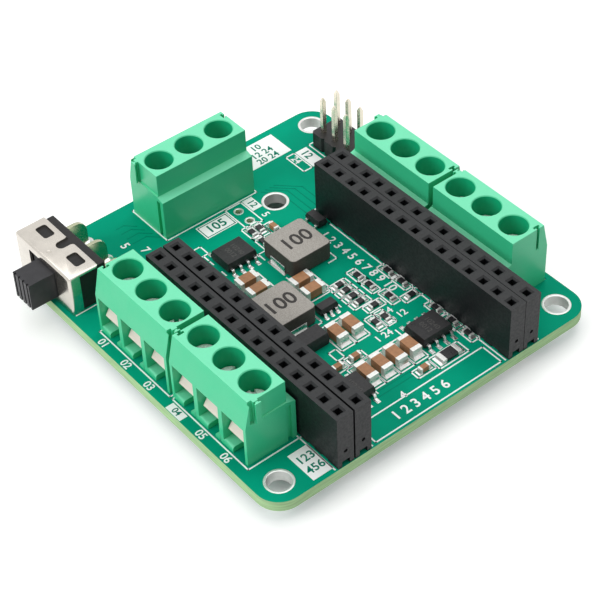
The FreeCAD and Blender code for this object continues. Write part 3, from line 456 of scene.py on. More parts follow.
class Blank:
    """A mesh under the tools, in millimetres, before it becomes a piece."""

    def __init__(self) -> None:
        """Start with an empty mesh."""
        self.bm = bmesh.new()

    def block(self, low: Sequence[float], high: Sequence[float]) -> list[bmesh.types.BMVert]:
        """Add a block between two corners.

        Args:
            low: the lowest corner.
            high: the highest corner.

        Returns:
            The block's vertices.
        """
        size, middle = Vector(high) - Vector(low), (Vector(high) + Vector(low)) / 2
        place = Matrix.Translation(middle) @ Matrix.Diagonal((*size, 1.0))
        return bmesh.ops.create_cube(self.bm, size=1.0, matrix=place)["verts"]

    def drum(self, centre: Spot, low: float, high: float, radius: float, top: Optional[float] = None,
             steps: int = 32, axis: Axis = Axis.Z) -> list[bmesh.types.BMVert]:
        """Add a closed cylinder or cone.

        Args:
            centre: where its axis is, on the two other axes.
            low: where it starts on its axis.
            high: where it ends on its axis.
            radius: its radius at the start.
            top: its radius at the end, if it differs.
            steps: faces round it.
            axis: the direction that it runs along.

        Returns:
            Its vertices.
        """
        middle = (low + high) / 2
        turn, spot = {
            Axis.Z: (Matrix(), (centre[0], centre[1], middle)),
            Axis.X: (Matrix.Rotation(math.pi / 2, 4, "Y"), (middle, centre[0], centre[1])),
            Axis.Y: (Matrix.Rotation(-math.pi / 2, 4, "X"), (centre[0], middle, centre[1])),
        }[axis]
        made = bmesh.ops.create_cone(self.bm, cap_ends=True, segments=steps, radius1=radius,
                                     radius2=radius if top is None else top, depth=high - low,
                                     matrix=Matrix.Translation(spot) @ turn)
        return made["verts"]

    def extrusion(self, outline: Sequence[Spot], low: float, high: float,
                  axis: Axis = Axis.X) -> list[bmesh.types.BMVert]:
        """Draw an outline out along an axis.

        Args:
            outline: the corners on the two other axes, in their order.
            low: where the solid starts.
            high: where it ends.
            axis: the direction that it is drawn along.

        Returns:
            The vertices of both ends.
        """
        def spot(u: float, v: float) -> Point:
            """Return an outline corner at the start of the solid."""
            return {Axis.X: (low, u, v), Axis.Y: (u, low, v), Axis.Z: (u, v, low)}[axis]

        ring = [self.bm.verts.new(spot(u, v)) for u, v in outline]
        face = self.bm.faces.new(ring)
        grown = bmesh.ops.extrude_face_region(self.bm, geom=[face], use_keep_orig=True)["geom"]
        far = [item for item in grown if isinstance(item, bmesh.types.BMVert)]
        step = [0.0, 0.0, 0.0]
        step[axis.value] = high - low
        bmesh.ops.translate(self.bm, verts=far, vec=step)
        skin = {linked for vert in ring + far for linked in vert.link_faces}
        bmesh.ops.recalc_face_normals(self.bm, faces=list(skin))
        return ring + far

    def lathe(self, profile: Sequence[Spot], centre: Spot = (0.0, 0.0), steps: int = 32) -> None:
        """Turn a profile of radius and height about an upright axis.

        Args:
            profile: the corners of the profile, closed by the axis or by its own last corner.
            centre: where the axis stands.
            steps: faces round the axis.
        """
        tool = Blank()
        points = [tool.bm.verts.new((radius, 0.0, height)) for radius, height in profile]
        edges = [tool.bm.edges.new(pair) for pair in zip(points, points[1:])]
        bmesh.ops.spin(tool.bm, geom=points + edges, cent=(0, 0, 0), axis=(0, 0, 1), angle=2 * math.pi,
                       steps=steps, use_merge=True)
        bmesh.ops.remove_doubles(tool.bm, verts=tool.bm.verts, dist=1e-4)
        bmesh.ops.recalc_face_normals(tool.bm, faces=tool.bm.faces)
        self.join(tool, Matrix.Translation((centre[0], centre[1], 0.0)))

    def round_edges(self, width: float, steps: int = 2, sharper: float = 30.0,
                    pick: Optional[Iterable[bmesh.types.BMEdge]] = None) -> None:
        """Round the edges that are sharper than an angle, or those picked.

        Args:
            width: width of the rounding in millimetres.
            steps: faces across it.
            sharper: least angle between two faces, in degrees.
            pick: the edges, if not all.
        """
        limit = math.radians(sharper)
        edges = [edge for edge in (pick if pick is not None else self.bm.edges)
                 if len(edge.link_faces) == 2 and edge.calc_face_angle(0.0) > limit]
        bmesh.ops.bevel(self.bm, geom=edges, offset=width, offset_type="OFFSET", segments=steps, profile=0.5,
                        affect="EDGES", clamp_overlap=True, material=-1)

    def edges_where(self, test) -> list[bmesh.types.BMEdge]:
        """Return the edges whose two ends both pass a test on their position."""
        return [edge for edge in self.bm.edges if all(test(vert.co) for vert in edge.verts)]

    def move(self, verts: Sequence[bmesh.types.BMVert], place: Matrix) -> None:
        """Move some vertices by a transform."""
        bmesh.ops.transform(self.bm, matrix=place, verts=list(verts))

    def as_mesh(self) -> bpy.types.Mesh:
        """Return the blank as a new mesh."""
        mesh = bpy.data.meshes.new("blank")
        self.bm.to_mesh(mesh)
        return mesh

    def join(self, other: "Blank", place: Matrix = Matrix()) -> None:
        """Add a copy of another blank at a place."""
        mesh = other.as_mesh()
        mesh.transform(place)
        self.bm.from_mesh(mesh)
        bpy.data.meshes.remove(mesh)

    def carve(self, *tools: "Blank", add: bool = False) -> None:
        """Cut tools out of the blank, or weld them to it.

        Args:
            *tools: the solids, one cut for each.
            add: whether they are welded on in place of being cut out.
        """
        body = bpy.data.objects.new("blank", self.as_mesh())
        helpers = [bpy.data.objects.new("tool", tool.as_mesh()) for tool in tools]
        for item in (body, *helpers):
            bpy.context.scene.collection.objects.link(item)
        for helper in helpers:
            cut = body.modifiers.new("cut", "BOOLEAN")
            cut.operation = "UNION" if add else "DIFFERENCE"
            cut.solver = "EXACT"
            cut.object = helper
        done = bpy.data.meshes.new_from_object(body.evaluated_get(bpy.context.evaluated_depsgraph_get()))
        self.bm.clear()
        self.bm.from_mesh(done)
        bpy.data.meshes.remove(done)
        for item in (body, *helpers):
            mesh = item.data
            bpy.data.objects.remove(item)
            bpy.data.meshes.remove(mesh)
        bmesh.ops.remove_doubles(self.bm, verts=self.bm.verts, dist=1e-4)
        bmesh.ops.dissolve_limit(self.bm, angle_limit=math.radians(0.5), verts=self.bm.verts,
                                 edges=self.bm.edges)

    def publish(self, name: str, finish: Finish, body: str = "root", slot: Optional[str] = None,
                stands_for: Sequence[str] = (), edge: float = 0.0, steps: int = 2,
                smooth: float = 32.0) -> bpy.types.Object:
        """Turn the blank into a piece of the model.

        Args:
            name: the piece's name.
            finish: its finish.
            body: the CAD body that it rides on.
            slot: the record's material slot; not used.
            stands_for: the CAD nodes that it replaces.
            edge: width of the rounding that a Bevel modifier gives its edges, in millimetres.
            steps: faces across that rounding.
            smooth: faces that meet at less than this angle, in degrees, shade as one.

        Returns:
            The new object.
        """
        bmesh.ops.scale(self.bm, vec=(MM, MM, MM), verts=self.bm.verts)
        limit = math.radians(smooth)
        for face in self.bm.faces:
            face.smooth = True
        for seam in self.bm.edges:
            seam.smooth = bool(edge) or seam.calc_face_angle(0.0) < limit
        mesh = self.as_mesh()
        mesh.name = name
        mesh.materials.append(finish.material())
        piece = bpy.data.objects.new(name, mesh)
        bpy.context.scene.collection.objects.link(piece)
        if edge:
            rounding = piece.modifiers.new("edges", "BEVEL")
            rounding.width, rounding.segments = edge * MM, steps
            rounding.limit_method, rounding.angle_limit = "ANGLE", limit
            rounding.harden_normals = True
        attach(piece, body)
        if stands_for:
            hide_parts(*stands_for)
        log.info("%s: %d faces, on %s", name, len(mesh.polygons), body)
        self.bm.free()
        return piece


def solid_copy(frame: dict, node: str) -> Blank:
    """Copy a CAD node's mesh, welded and cleared of flat seams.

    Args:
        node: the CAD node.

    Returns:
        The copy in millimetres.
    """
    copy = Blank()
    copy.bm.from_mesh(frame["nodes"][node].data)
    bmesh.ops.scale(copy.bm, vec=(1 / MM,) * 3, verts=copy.bm.verts)
    bmesh.ops.remove_doubles(copy.bm, verts=copy.bm.verts, dist=1e-3)
    bmesh.ops.dissolve_limit(copy.bm, angle_limit=math.radians(1), verts=copy.bm.verts, edges=copy.bm.edges)
    return copy


def solids_of(frame: dict, node: str) -> list[Corners]:
    """Measure each separate solid of a CAD node.

    Args:
        node: the CAD node.

    Returns:
        The lowest and highest corner of each solid, in millimetres.
    """
    copy = solid_copy(frame, node)
    left, found = set(copy.bm.verts), []
    while left:
        heap, island = [left.pop()], []
        while heap:
            vert = heap.pop()
            island.append(vert.co.copy())
            for edge in vert.link_edges:
                other = edge.other_vert(vert)
                if other in left:
                    left.remove(other)
                    heap.append(other)
        found.append((Vector(map(min, *island)), Vector(map(max, *island))))
    copy.bm.free()
    return sorted(found, key=lambda pair: tuple(pair[0]))


# ---------------------------------------------------------------------------
# Circuit board
# ---------------------------------------------------------------------------


@dataclass
class CircuitBoard:
    """The laminate with its plated holes, tracks and printed legend."""

    hole_radius: float = 1.6
    plating: float = 0.03
    ring_width: float = 0.35
    legend_thick: float = 0.030
    track_thick: float = 0.012

    def __post_init__(self) -> None:
        """Read the board's box and the places of its holes."""
        self.low, self.high = box_mm("circuit_board")
        self.top = self.high.z
        far = self.low.x + (self.high.x - 0.0)
        self.holes = [(0.0, 0.0), (0.0, self.high.y - self.high.x), (far, self.high.y - self.high.x),
                      self.inner_hole()]

    def inner_hole(self) -> Spot:
        """Return the centre of the fourth hole, which stands inside the board."""
        strip = box_mm("socket_back_inner_housing")[0]
        return strip.x - 5.3, (strip.y + 1.25) - 4.2

    def build(self, frame: dict) -> None:
        """Dress the board and lay its rings and tracks."""
        board = frame["nodes"]["circuit_board"]
        board.data.materials.clear()
        board.data.materials.append(Finishes.board.material())
        self.rings()
        self.tracks()

    def rings(self) -> None:
        """Plate the four mounting holes and the two spare wire holes."""
        blank = Blank()
        for spot in self.holes:
            self.eyelet(blank, spot, self.hole_radius, self.ring_width)
        for spot in self.spare_holes():
            self.eyelet(blank, spot, 0.5, 0.24)
        blank.publish("plated_hole_rings", Finishes.ring, slot="board")

    def spare_holes(self) -> list[Spot]:
        """Return the two spare wire holes beside the left terminal block."""
        right = box_mm("terminal_left_housing")[1].x
        return [(right + 1.95, 26.29), (right + 4.45, 26.29)]

    def eyelet(self, blank: Blank, centre: Spot, radius: float, width: float) -> None:
        """Add a plated barrel with a rounded ring on both faces of the board."""
        inner, outer, rise = radius - self.plating, radius + width, 0.045
        profile = [(inner, self.low.z), (inner, self.top), (inner + 0.05, self.top + rise * 0.7),
                   (inner + 0.12, self.top + rise), (outer - 0.10, self.top + rise),
                   (outer - 0.02, self.top + rise * 0.6), (outer, self.top - 0.02), (radius + 0.01, self.top - 0.02),
                   (radius + 0.01, self.low.z + 0.02), (outer, self.low.z + 0.02),
                   (outer - 0.02, self.low.z - rise * 0.6), (outer - 0.10, self.low.z - rise),
                   (inner + 0.12, self.low.z - rise), (inner, self.low.z)]
        blank.lathe(profile, centre, 64)

    def tracks(self) -> None:
        """Lay the copper tracks that show through the mask on the upper face."""
        blank = Blank()
        left = box_mm("terminal_left_housing")
        for lane in range(4):
            x = self.low.x + 3.4 + lane * 1.3
            self.run(blank, [(x, 11.4), (x, 12.6 + lane * 0.35), (x + 1.3, 13.9 + lane * 0.35)], 0.14)
        for lane in range(4):
            start = (left[1].x + 0.8, 31.2 + lane * 0.75)
            self.run(blank, [start, (start[0] + 1.9 + lane * 0.3, start[1] + 1.9 + lane * 0.3),
                             (start[0] + 7.5, start[1] + 1.9 + lane * 0.3)], 0.14)
        for lane in range(3):
            y = 12.9 + lane * 0.95
            self.run(blank, [(-31.5 + lane, y), (-24.0 - lane, y), (-22.6 - lane, y - 1.2)], 0.14)
        for lane in range(3):
            x = -2.6 - lane * 0.8
            self.run(blank, [(x, 14.4 + lane), (x, 26.5 - lane), (x - 2.2, 28.7 - lane)], 0.14)
        blank.publish("mask_over_tracks", Finishes.track, slot="board")

    def run(self, blank: Blank, points: Sequence[Spot], width: float) -> None:
        """Lay one track through its bends.

        Args:
            blank: what the track is added to.
            points: its bends, from end to end.
            width: its width in millimetres.
        """
        low, high = self.top - 0.02, self.top + self.track_thick
        for start, end in zip(points, points[1:]):
            along = Vector(end) - Vector(start)
            verts = blank.block((0, -width / 2, low), (along.length, width / 2, high))
            blank.move(verts, Matrix.Translation((*start, 0)) @ Matrix.Rotation(math.atan2(along.y, along.x), 4, "Z"))
        for point in points:
            blank.drum(point, low, high, width / 2, steps=12)


@dataclass
class Legend:
    """White printed lines, boxes and plain numbers on the board."""

    board: CircuitBoard
    width: float = 0.20

    def __post_init__(self) -> None:
        """Start an empty print."""
        self.ink = Blank()
        self.low = self.board.top - 0.02
        self.high = self.board.top + self.board.legend_thick

    def line(self, start: Spot, end: Spot, width: Optional[float] = None) -> None:
        """Print one straight line with round ends."""
        wide = (width or self.width) / 2
        along = Vector(end) - Vector(start)
        verts = self.ink.block((-wide, -wide, self.low), (along.length + wide, wide, self.high))
        self.ink.move(verts, Matrix.Translation((*start, 0)) @ Matrix.Rotation(math.atan2(along.y, along.x), 4, "Z"))

    def path(self, points: Sequence[Spot], closed: bool = False) -> None:
        """Print a line through several points."""
        ring = list(points) + ([points[0]] if closed else [])
        for start, end in zip(ring, ring[1:]):
            self.line(start, end)

    def frame(self, low: Spot, high: Spot) -> None:
        """Print a rectangle's outline."""
        self.path([low, (high[0], low[1]), high, (low[0], high[1])], closed=True)

    def panel(self, low: Spot, high: Spot) -> None:
        """Print a filled box."""
        self.ink.block((*low, self.low), (*high, self.high))

    def dot(self, centre: Spot, radius: float) -> None:
        """Print a round dot."""
        self.ink.drum(centre, self.low, self.high, radius, steps=20)

    def number(self, text: str, centre: Spot, height: float, turn: float = 0.0,
               target: Optional[Blank] = None, level: float = 0.0) -> None:
        """Print a plain number.

        Args:
            text: the figures.
            centre: where its middle stands.
            height: height of a figure in millimetres.
            turn: its turn about Z in degrees.
            target: the blank that it is added to, if not the white ink.
            level: how far above the white ink it lies.
        """
        curve = bpy.data.curves.new("number", "FONT")
        curve.body, curve.size, curve.resolution_u = text, height * 1.38, 3
        curve.align_x, curve.align_y = "CENTER", "CENTER"
        curve.extrude, curve.offset = (self.high - self.low) / 2, 0.022 * height
        item = bpy.data.objects.new("number", curve)
        bpy.context.scene.collection.objects.link(item)
        mesh = bpy.data.meshes.new_from_object(item.evaluated_get(bpy.context.evaluated_depsgraph_get()))
        middle = (self.high + self.low) / 2 + level
        mesh.transform(Matrix.Translation((*centre, middle)) @ Matrix.Rotation(math.radians(turn), 4, "Z"))
        (target or self.ink).bm.from_mesh(mesh)
        bpy.data.objects.remove(item)
        bpy.data.curves.remove(curve)
        bpy.data.meshes.remove(mesh)

    def build(self, frame: dict) -> None:
        """Print every line, box and number."""
        dark = Blank()
        self.around_strips()
        self.around_terminals(dark)
        self.around_parts(frame)
        self.loose_marks(dark)
        self.ink.publish("white_legend", Finishes.ink, slot="board", smooth=20)
        dark.publish("mask_numbers", Finishes.inked_hole, slot="board", smooth=20)

    def around_strips(self) -> None:
        """Outline each pair of socket strips and the clear area at the right edge."""
        for first, second in (("front_outer", "front_inner"), ("back_inner", "back_outer")):
            low, high = box_mm(f"socket_{first}_housing")[0], box_mm(f"socket_{second}_housing")[1]
            margin = 0.3
            end = self.board.high.x - 0.35
            self.line((low.x - margin, low.y - margin), (end, low.y - margin))
            self.line((low.x - margin, high.y + margin), (end, high.y + margin))
            self.line((low.x - margin, low.y - margin), (low.x - margin, high.y + margin))
        low = box_mm("socket_front_inner_housing")[1].y
        high = box_mm("socket_back_inner_housing")[0].y
        edge = self.board.high.x
        self.path([(edge - 3.9, low + 1.0), (edge - 0.45, low + 1.0), (edge - 0.45, high - 0.9),
                   (edge - 3.9, high - 0.9)], closed=True)

    def around_terminals(self, dark: Blank) -> None:
        """Line the wire side of the terminal blocks and number their poles."""
        front = box_mm("terminal_front_left_housing"), box_mm("terminal_front_right_housing")
        margin = 0.35
        for number, (low, high) in enumerate(front):
            self.path([(low.x + 0.3, high.y + margin), (low.x + 0.3, low.y - margin),
                       (high.x + 0.05, low.y - margin), (high.x + 0.05, high.y + margin)])
            for pole in range(3):
                x = low.x + 2.6 + pole * 5.0
                spot = (x - 0.2, low.y - 1.25)
                figure = f"0{3 * number + pole + 1}"
                if number == 1 and pole == 0:
                    self.panel((spot[0] - 1.5, spot[1] - 0.62), (spot[0] + 1.5, spot[1] + 0.62))
                    self.number(figure, spot, 0.95, target=dark, level=0.02)
                else:
                    self.number(figure, spot, 1.15)
        for block in ("back_left", "back_right"):
            low, high = box_mm(f"terminal_{block}_housing")
            self.frame((low.x - 0.1, low.y - margin), (high.x - 0.2, high.y + 0.25))
        low, high = box_mm("terminal_left_housing")
        self.frame((low.x - 0.3, low.y + 0.32), (high.x + margin, high.y + 0.1))

    def around_parts(self, frame: dict) -> None:
        """Mark the corners and sides of the surface mounted parts."""
        for low, high in solids_of(frame, "chips"):
            if high.x - low.x > 3.5:
                for x in (low.x + 0.1, high.x - 0.1):
                    inward = 0.9 if x < (low.x + high.x) / 2 else -0.9
                    for y in (low.y - 0.35, high.y + 0.35):
                        self.line((x, y), (x + inward, y))
                self.line((low.x + 0.1, low.y - 0.35), (low.x - 1.2, low.y - 0.35))
            else:
                margin = 0.35
                self.line((low.x, low.y - margin), (high.x, low.y - margin))
                self.line((low.x, high.y + margin), (high.x, high.y + margin))
        for low, high in solids_of(frame, "power_inductors"):
            reach = 0.45
            for sx, x in ((1, low.x - reach), (-1, high.x + reach)):
                for sy, y in ((1, low.y - reach), (-1, high.y + reach)):
                    self.path([(x + sx * 1.4, y), (x, y), (x, y + sy * 1.4)])
        for low, high in solids_of(frame, "capacitors") + solids_of(frame, "resistors"):
            size = high - low
            ends, sides = 0.55 + 0.1 * max(size.x, size.y), 0.34
            away = (ends, sides) if size.x > size.y else (sides, ends)
            self.frame((low.x - away[0], low.y - away[1]), (high.x + away[0], high.y + away[1]))

    def loose_marks(self, dark: Blank) -> None:
        """Print the boxes that stand by themselves and the numbers among the parts."""
        self.panel((-2.4, 3.15), (2.6, 6.2))
        for row, figure in enumerate(("123", "456")):
            self.number(figure, (-0.8 + row * 1.9, 4.7), 1.25, 90, target=dark, level=0.02)
        self.spare_pads(dark)
        low, high = box_mm("pin_header_body")
        self.frame((low.x - 0.3, low.y - 0.3), (high.x + 0.3, high.y + 0.3))
        self.panel((low.x - 0.2, low.y - 2.9), (low.x + 3.9, low.y - 0.9))
        self.number("12", (low.x + 1.2, low.y - 1.9), 1.3, target=dark, level=0.02)
        self.frame((low.x - 0.2, low.y - 4.6), (low.x + 3.9, low.y - 3.1))
        self.number("24", (low.x + 1.2, low.y - 3.85), 1.1)
        block = box_mm("terminal_left_housing")
        self.panel((block[0].x - 0.9, block[1].y + 0.6), (block[0].x + 3.9, block[1].y + 9.6))
        for row, figure in enumerate(("10", "12 24", "20 24")):
            self.number(figure, (block[0].x + 0.2 + row * 1.45, block[1].y + 6.0), 1.15, 90, target=dark, level=0.02)
        switch = box_mm("switch_base")
        self.line((switch[0].x - 0.2, switch[1].y + 2.3), (switch[1].x + 0.2, switch[1].y + 2.3))
        self.line((switch[1].x + 0.35, switch[0].y), (switch[1].x + 0.35, switch[1].y + 2.3))
        for spot, figure in (((-38.6, 11.3), "5"), ((-36.6, 12.4), "2"), ((-0.9, 20.4), "4"), ((-18.3, 12.6), "12")):
            self.number(figure, spot, 1.15, 90)
        self.number("5", (-46.4, 10.3), 1.3, 0)
        self.number("7", (-43.9, 11.9), 1.3, 0)
        self.number("1 2 3 4 5 6 7 8 9 10", (-23.3, 32.1), 1.35)
        for spot, figure in (((-13.4, 27.7), "10 24"), ((-11.9, 28.9), "20 12"), ((-10.3, 25.4), "1 24")):
            self.number(figure, spot, 1.1, 90)
        self.number("1 2 3 4 5 6", (1.15, 21.5), 1.5, 90)
        for spot in ((-38.6, 17.3), (-11.6, 18.6)):
            self.frame((spot[0] - 0.9, spot[1] - 0.6), (spot[0] + 0.9, spot[1] + 0.6))
        self.dot((-37.3, 22.8), 0.25)
        self.dot((-4.0, 33.2), 0.22)

    def spare_pads(self, dark: Blank) -> None:
        """Box the two spare wire holes and print the double outlined panel beside them."""
        self.frame((-43.15, 24.95), (-38.15, 27.65))
        self.panel((-43.15, 27.85), (-40.6, 29.5))
        self.number("12", (-41.9, 28.7), 1.1, target=dark, level=0.02)
        self.number("5", (-38.9, 28.7), 1.15)
        self.panel((-42.85, 19.6), (-40.05, 24.75))
        low, high, level = (-42.62, 19.83), (-40.28, 24.52), 0.012
        for start, end in (((low[0], low[1]), (high[0], low[1])), ((high[0], low[1]), (high[0], high[1])),
                           ((high[0], high[1]), (low[0], high[1])), ((low[0], high[1]), (low[0], low[1]))):
            ends = sorted((start[0], end[0])), sorted((start[1], end[1]))
            dark.block((ends[0][0] - 0.07, ends[1][0] - 0.07, self.low),
                       (ends[0][1] + 0.07, ends[1][1] + 0.07, self.high + level))
        self.number("105", (-41.45, 22.15), 1.55, 90, target=dark, level=0.02)


# ---------------------------------------------------------------------------
# Terminal blocks
# ---------------------------------------------------------------------------


@dataclass
class TerminalBlock:
    """A three pole screw terminal block with its contact frames, guards and screws."""

    name: str
    facing: Facing
    poles: int = 3
    pitch: float = 5.0
    margin: float = 0.1
    depth: float = 7.55
    height: float = 10.15
    floor: float = 0.9
    partition: float = 0.8
    cell_height: float = 5.9
    cell_depth: float = 6.7
    step: float = 6.35
    shelf: float = 1.8
    opening: float = 1.9
    foot: float = 1.0
    well_back: float = 3.7
    well_radius: float = 1.95
    rail_middle: float = 1.85
    rail_reach: float = 0.42

    @property
    def length(self) -> float:
        """Length of the block without its rail."""
        return self.poles * self.pitch + 2 * self.margin

    def place(self) -> Matrix:
        """Return the transform from the block's own axes to the board's."""
        low, high = box_mm(f"terminal_{self.name}_housing")
        corner = {
            Facing.FRONT: (low.x, low.y, low.z),
            Facing.BACK: (high.x, high.y, low.z),
            Facing.LEFT: (low.x, high.y, low.z),
        }[self.facing]
        return Matrix.Translation(corner) @ Matrix.Rotation(math.radians(self.facing.value), 4, "Z")

    def centre(self, pole: int) -> float:
        """Return how far along the block a pole's middle is."""
        return self.margin + (pole + 0.5) * self.pitch

    def moulding(self) -> Blank:
        """Mould the housing: body, cells, wells, and the rail and grooves that join two blocks."""
        body = Blank()
        body.extrusion([(0, 0), (self.depth, 0), (self.depth, 6.3), (self.step, 6.65), (self.step, self.height),
                        (0.87, self.height), (0, 6.3)], 0, self.length)
        half = (self.pitch - self.partition) / 2
        rooms, openings, wells, leads = (Blank() for _ in range(4))
        for pole in range(self.poles):
            x = self.centre(pole)
            rooms.block((x - half, -1, self.floor), (x + half, self.cell_depth, self.cell_height))
            openings.block((x - half + self.shelf, -1, -1), (x + half, self.opening, self.floor + 0.4))
            wells.drum((x, self.well_back), self.cell_height - 0.1, self.height + 1, self.well_radius, steps=64)
            leads.drum((x, self.well_back), self.height - 0.12, self.height + 0.13, self.well_radius,
                       self.well_radius + 0.25, steps=64)
        body.carve(rooms, openings, wells, leads, *self.joints())
        nose = body.edges_where(lambda co: abs(co.y) < 1e-3 and abs(co.z - self.floor) < 1e-3)
        body.round_edges(0.4, 4, pick=nose)
        self.feet(body, half)
        self.rail(body)
        return body

    def joints(self) -> list[Blank]:
        """Return the tools for the grooves at both ends and the recess behind the rail."""
        end, foot = self.length, self.height - 3.6
        mouth, room, groove, recess, rear = (Blank() for _ in range(5))
        mouth.block((-1, self.rail_middle - 0.22, foot), (0.6, self.rail_middle + 0.22, self.height + 1))
        room.block((0.25, self.rail_middle - 0.48, foot), (0.58, self.rail_middle + 0.48, self.height + 1))
        groove.block((end - 0.45, 0.80, foot + 0.1), (end + 1, 1.42, self.height + 1))
        recess.block((end - 0.22, self.rail_middle + 0.3, foot + 0.2), (end + 1, self.depth + 1, self.height + 1))
        rear.block((end - 0.45, 6.2, -1), (end + 1, 6.9, 6.0))
        return [mouth, room, groove, recess, rear]

    def feet(self, body: Blank, half: float) -> None:
        """Add the rounded foot at the right of each cell's floor.

        Args:
            body: the moulding.
            half: half the width of a cell.
        """
        for pole in range(self.poles):
            wall = self.centre(pole) + half
            arc = [(wall - self.foot * math.cos(step * math.pi / 16), self.foot * math.sin(step * math.pi / 16))
                   for step in range(9)]
            foot = Blank()
            foot.extrusion([*[(x, z) for x, z in arc], (wall + 0.1, self.foot), (wall + 0.1, 0.0)], 0.0,
                           self.opening, Axis.Y)
            body.join(foot)

    def rail(self, body: Blank) -> None:
        """Add the T rail that enters the next block's groove."""
        end, foot, middle = self.length, self.height - 3.4, self.rail_middle
        rail = Blank()
        rail.block((end - 0.5, middle - 0.18, foot), (end + self.rail_reach, middle + 0.18, self.height - 0.1))
        head = Blank()
        head.block((end + self.rail_reach - 0.2, middle - 0.42, foot),
                   (end + self.rail_reach, middle + 0.42, self.height - 0.1))
        body.carve(rail, head, add=True)

    def guard(self) -> Blank:
        """Bend the leaf that the screw pushes on the wire, with its front lip turned up."""
        leaf = Blank()
        half = (self.pitch - self.partition) / 2 - 0.25
        leaf.extrusion([(0.60, 2.62), (0.74, 2.50), (0.88, 2.56), (1.16, 3.0), (5.8, 3.0), (5.8, 3.35),
                        (1.62, 3.35), (1.66, 3.86), (1.56, 3.98), (1.42, 3.92)], -half, half)
        for side in (-1, 1):
            rib = Blank()
            rib.drum((2.9, 3.36), side * 0.9 - 0.45, side * 0.9 + 0.45, 0.10, steps=16, axis=Axis.X)
            leaf.join(rib)
        return leaf

    def screw(self) -> Blank:
        """Turn the clamp screw: slotted head with a rounded rim, and a threaded shank."""
        thread = []
        top, bottom, pitch = 5.8, 3.45, 0.5
        turns = int((top - bottom) / pitch)
        for turn in range(turns):
            z = top - turn * pitch
            thread += [(1.45, z - 0.06), (1.45, z - 0.14), (1.24, z - 0.34)]
        profile = [(0.0, 7.40), (0.9, 7.38), (1.35, 7.30), (1.62, 7.14), (1.76, 6.92), (1.8, 6.7), (1.8, 5.92),
                   (1.72, 5.8),
                   *thread, (1.3, 3.44), (1.16, 3.37), (0.0, 3.37)]
        steel = Blank()
        steel.lathe(profile, steps=40)
        slot = Blank()
        slot.block((-0.3, -2.2, 6.5), (0.3, 2.2, 7.8))
        steel.carve(slot)
        steel.move(steel.bm.verts, Matrix.Rotation(math.radians(12), 4, "Z"))
        return steel

    def paint_shade_in_wells(self, bored: bpy.types.Object, place: Matrix) -> None:
        """Give the walls of the screw wells a darker green, the painted shade of the deep wells.

        Args:
            bored: the published moulding.
            place: the transform from the block's own axes to the frame, in millimetres.
        """
        bored.data.materials.append(Finishes.well_painted_shade.material())
        back = place.inverted()
        for face in bored.data.polygons:
            spot = back @ (face.center / MM)
            off = min(math.hypot(spot.x - self.centre(pole), spot.y - self.well_back) for pole in range(self.poles))
            # wall faces inside the wells take the painted shade
            if off < self.well_radius + 0.02 and spot.z > self.cell_height and abs(face.normal.z) < 0.5:
                face.material_index = 1

    def build(self, frame: dict, moulding: Blank, guard: Blank, screw: Blank) -> None:
        """Place the block's pieces.

        Args:
            moulding: the moulded housing in the block's own axes.
            guard: one wire guard, centred on its pole.
            screw: one clamp screw, on its own axis.
        """
        place = self.place()
        shell = Blank()
        shell.join(moulding, place)
        bored = shell.publish(f"terminal_{self.name}_moulding", Finishes.housing, slot="terminal_plastic",
                              stands_for=[f"terminal_{self.name}_housing"], edge=0.10, steps=2)
        self.paint_shade_in_wells(bored, place)
        metal = solid_copy(frame, f"terminal_{self.name}_contacts")
        metal.publish(f"terminal_{self.name}_frames", Finishes.frame, slot="tinned_metal",
                      stands_for=[f"terminal_{self.name}_contacts"], edge=0.07, steps=2)
        for pole in range(self.poles):
            tag = f"{self.name}_{pole + 1}"
            spot = Matrix.Translation((self.centre(pole), 0, 0))
            leaf = Blank()
            leaf.join(guard, place @ spot)
            leaf.publish(f"guard_leaf_{tag}", Finishes.guard, body=f"guard_{tag}", slot="tinned_metal",
                         stands_for=[f"wire_guard_{tag}"], edge=0.05)
            turned = Matrix.Rotation(math.radians(47 * pole + 13 * len(self.name)), 4, "Z")
            steel = Blank()
            steel.join(screw, place @ spot @ Matrix.Translation((0, self.well_back, 0)) @ turned)
            steel.publish(f"slotted_screw_{tag}", Finishes.screw, body=f"screw_{tag}", slot="screw_steel",
                          stands_for=[f"clamp_screw_{tag}"], edge=0.04)


# ---------------------------------------------------------------------------
# Socket strips and pin header
# ---------------------------------------------------------------------------


